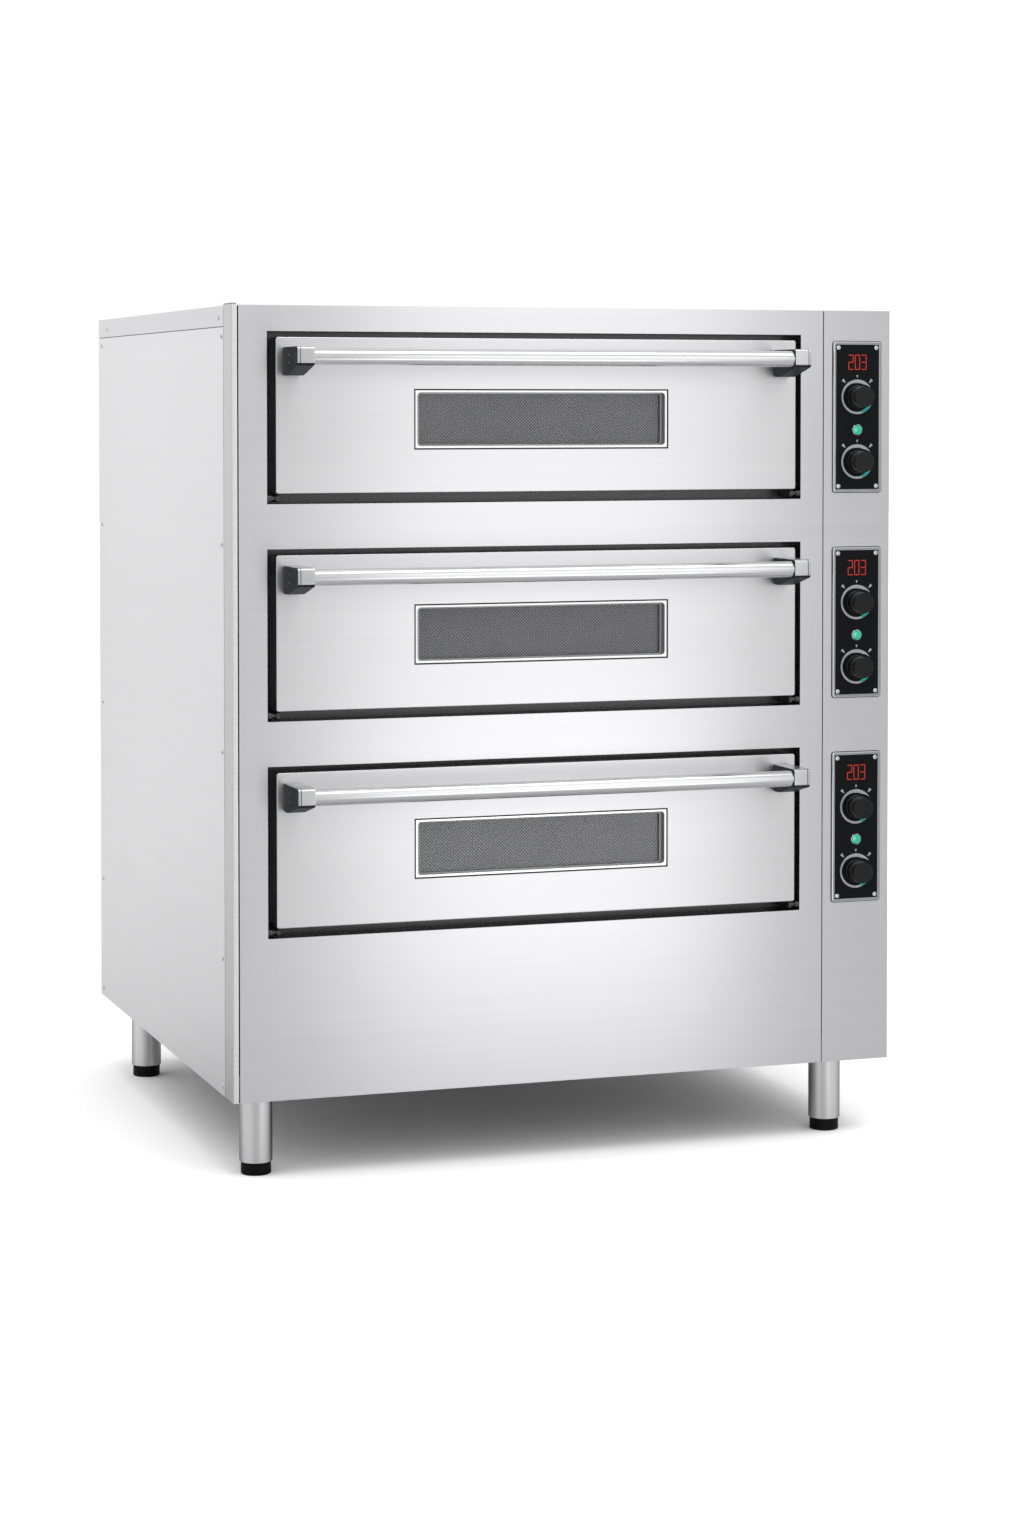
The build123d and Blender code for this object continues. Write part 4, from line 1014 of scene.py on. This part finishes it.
for deck, z in opening_heights.items():
    bars = []
    for number, figure in enumerate("203"):
        for letter in lit_bars[figure]:
            side, rise, upright = bar_places[letter]
            wide = bar_wide if upright else figure_width
            high = half + bar_wide if upright else bar_wide
            x = panel_x + (number - 1) * figure_pitch + side * (figure_width - bar_wide) / 2
            up = z + display_rise + rise
            bar = front_rectangle("bar", x, display_y - bar_thick, up, wide, high)
            set_mode("EDIT")
            bpy.ops.mesh.bevel(offset=bar_wide / 2, segments=1, affect="VERTICES")
            set_mode("OBJECT")
            bars.append(bar)
    figures = joined(bars, "display_figures_" + deck)
    thickened(figures, bar_thick)
    finished(figures, red_glow.owner, "casing", "display_red")

# Dials: a printed crescent round each knob, a teal tail at its lower right, and three marks.
dial_radius = 0.0310
print_thickness = 0.00012
ring_parts = 108
crescent_ends = (-201, 55)  # degrees clockwise from the top
tail_ends = (-246, -200)
# Widths in millimetres at angles in degrees.
crescent_widths = (
    (-215, 4.2), (-180, 4.0), (-90, 3.4), (-45, 4.2), (0, 6.2), (28, 5.6), (55, 0.4),
)
tail_widths = ((-246, 0.5), (-230, 5.0), (-200, 5.4))
thinnest = 0.0004
# Each mark's angle, distance from the knob's centre, width and height. It narrows inwards.
marks = ((-43, 0.0385, 0.0052, 0.0074), (0, 0.0368, 0.0036, 0.0044), (43, 0.0385, 0.0052, 0.0074))
mark_taper = 0.35
silver_print = coated("silver_print", (0.42, 0.43, 0.44), (0.52, 0.53, 0.54), 0.32, Metallic=0.6)
teal_print = coated("teal_print", (0.006, 0.38, 0.33), (0.012, 0.46, 0.40), 0.35)


def width_at(widths, angle):
    """The print's width in metres at an angle, between the given widths."""
    for (a, first), (b, second) in zip(widths, widths[1:]):
        if a <= angle <= b:
            return (first + (second - first) * (angle - a) / (b - a)) / 1000
    return thinnest


def printed_arc(name, x, z, ends, widths):
    """A flat arc of changing width round a dial's centre."""
    select_nothing()
    bpy.ops.mesh.primitive_circle_add(vertices=ring_parts, radius=dial_radius, fill_type="NOTHING")
    arc = bpy.context.active_object
    arc.name = name
    set_mode("EDIT")
    bpy.ops.mesh.select_mode(type="EDGE")
    bpy.ops.mesh.select_all(action="SELECT")
    bpy.ops.mesh.extrude_region()
    bpy.ops.transform.resize(value=(0.9, 0.9, 0.9))
    bpy.ops.mesh.select_all(action="DESELECT")
    set_mode("OBJECT")
    for face in arc.data.polygons:
        angle = math.degrees(math.atan2(face.center.x, face.center.y))
        face.select = not any(ends[0] < a < ends[1] for a in (angle, angle - 360))
    set_mode("EDIT")
    bpy.ops.mesh.select_mode(type="FACE")
    bpy.ops.mesh.delete(type="FACE")
    set_mode("OBJECT")
    for corner in arc.data.vertices:
        if corner.co.length < dial_radius * 0.95:
            angle = math.degrees(math.atan2(corner.co.x, corner.co.y))
            angle = angle if ends[0] - 4 < angle < ends[1] + 4 else angle - 360
            corner.co *= (dial_radius - width_at(widths, angle)) / corner.co.length
    arc.rotation_euler = (math.pi / 2, 0, 0)
    arc.location = (x, plate_y - print_thickness / 2, z)
    settle()
    thickened(arc, print_thickness)
    return arc


dial_rises = {"upper_heat": 0.036, "lower_heat": -0.080}
for deck, z in opening_heights.items():
    for heat, rise in dial_rises.items():
        dial = "_".join((heat, deck))
        centre_z = z + rise
        ring = "dial_ring_" + dial
        prints = [printed_arc(ring, panel_x, centre_z, crescent_ends, crescent_widths)]
        for angle, far, wide, high in marks:
            a = math.radians(angle)
            mark = front_rectangle("mark", 0, 0, 0, wide, high)
            for corner in mark.data.vertices:
                corner.co.x *= mark_taper if corner.co.z < 0 else 1.0
                x, up = corner.co.x, corner.co.z
                corner.co.x = panel_x + far * math.sin(a) + x * math.cos(a) + up * math.sin(a)
                corner.co.z = centre_z + far * math.cos(a) - x * math.sin(a) + up * math.cos(a)
                corner.co.y = plate_y - print_thickness / 2
            thickened(mark, print_thickness)
            prints.append(mark)
        finished(joined(prints, ring), silver_print, "casing", "bezel_silver")
        tail = printed_arc("dial_tail_" + dial, panel_x, centre_z, tail_ends, tail_widths)
        finished(tail, teal_print, "casing", "pilot_green")

# ---------------------------------------------------------------------------------------------
# Knobs: turned from black plastic with a skirt and a smooth grip. They turn on the regulators.
# ---------------------------------------------------------------------------------------------

knob_plastic = coated(
    "black_knob_plastic",
    (0.0035, 0.0035, 0.004),
    (0.005, 0.005, 0.006),
    0.24,
    (600.0, 600.0, 600.0),
    0.02,
    Specular_IOR_Level=0.35,
)
for deck in decks:
    for heat in dial_rises:
        node = "_".join(("knob", heat, deck))
        knob = rounded_copy(node, node + "_grip", 0.0003, smooth=50)
        finished(knob, knob_plastic, node, "knob_black", node)

# ---------------------------------------------------------------------------------------------
# Pilot lamps: a lit green lens in a pale polished rim.
# ---------------------------------------------------------------------------------------------

lens_radius = 0.0080
rim_radius = 0.0100
lens_rise = 0.0030
lens_seat = 0.0014  # the lens's base stands this far out of the plate
pilot_rise = -0.023
rim_steps = [(0, 0.0008), (0.0006, 0.0009), (0.0006, 0.0002), (0.0007, -0.0007), (0, -0.0012)]
lens_green = Recipe(bpy.data.materials.new("green_lens"))
ripple = lens_green.noise((700.0, 700.0, 700.0), 2.0)
# Painted highlight: the lens's green glow turns paler where it faces the view.
facing = lens_green.add("LayerWeight", sockets={"Blend": 0.5}, output="Facing")
painted_centre_highlight = lens_green.remap(facing, 0.0, 0.07, 0.7, 0.0)
shader = lens_green.add(
    "BsdfPrincipled",
    sockets={
        "Base Color": lens_green.blend(ripple, (0.005, 0.24, 0.16, 1), (0.01, 0.32, 0.22, 1)),
        "Roughness": lens_green.remap(ripple, 0.3, 0.7, 0.08, 0.16),
        "Emission Color": lens_green.blend(painted_centre_highlight, (0.006, 0.50, 0.27, 1), (0.42, 1.0, 0.86, 1)),
        "Emission Strength": 0.6,
        "Coat Weight": 0.5,
    },
)
lens_green.add("OutputMaterial", sockets={"Surface": shader})
rim_polish = steel("polished_pilot_rim", (0.80, 0.82, 0.80), 0.14, (300.0, 300.0, 300.0), hair=0.04)
for deck, z in opening_heights.items():
    select_nothing()
    bpy.ops.mesh.primitive_uv_sphere_add(segments=32, ring_count=16, radius=lens_radius)
    lens = bpy.context.active_object
    lens.name = "pilot_lens_" + deck
    set_mode("EDIT")
    bpy.ops.mesh.select_all(action="SELECT")
    bpy.ops.mesh.bisect(plane_co=(0, 0, 0), plane_no=(0, 0, 1), clear_inner=True, use_fill=True)
    set_mode("OBJECT")
    lens.scale = (1, 1, lens_rise / lens_radius)
    lens.rotation_euler = (math.pi / 2, 0, 0)
    lens.location = (panel_x, plate_y - lens_seat, z + pilot_rise)
    settle()
    bpy.ops.object.shade_smooth_by_angle(angle=math.radians(40))
    nodes = ["indicator_lamps"] if deck == "lower" else []
    finished(lens, lens_green.owner, "casing", "pilot_green", *nodes)
    select_nothing()
    bpy.ops.mesh.primitive_circle_add(
        vertices=40,
        radius=rim_radius,
        fill_type="NGON",
        rotation=(math.pi / 2, 0, 0),
        location=(panel_x, plate_y, z + pilot_rise),
    )
    rim = bpy.context.active_object
    rim.name = "pilot_rim_" + deck
    settle()
    stepped_ring(rim, rim_steps)
    finished(rim, rim_polish, "casing", "screw_steel")
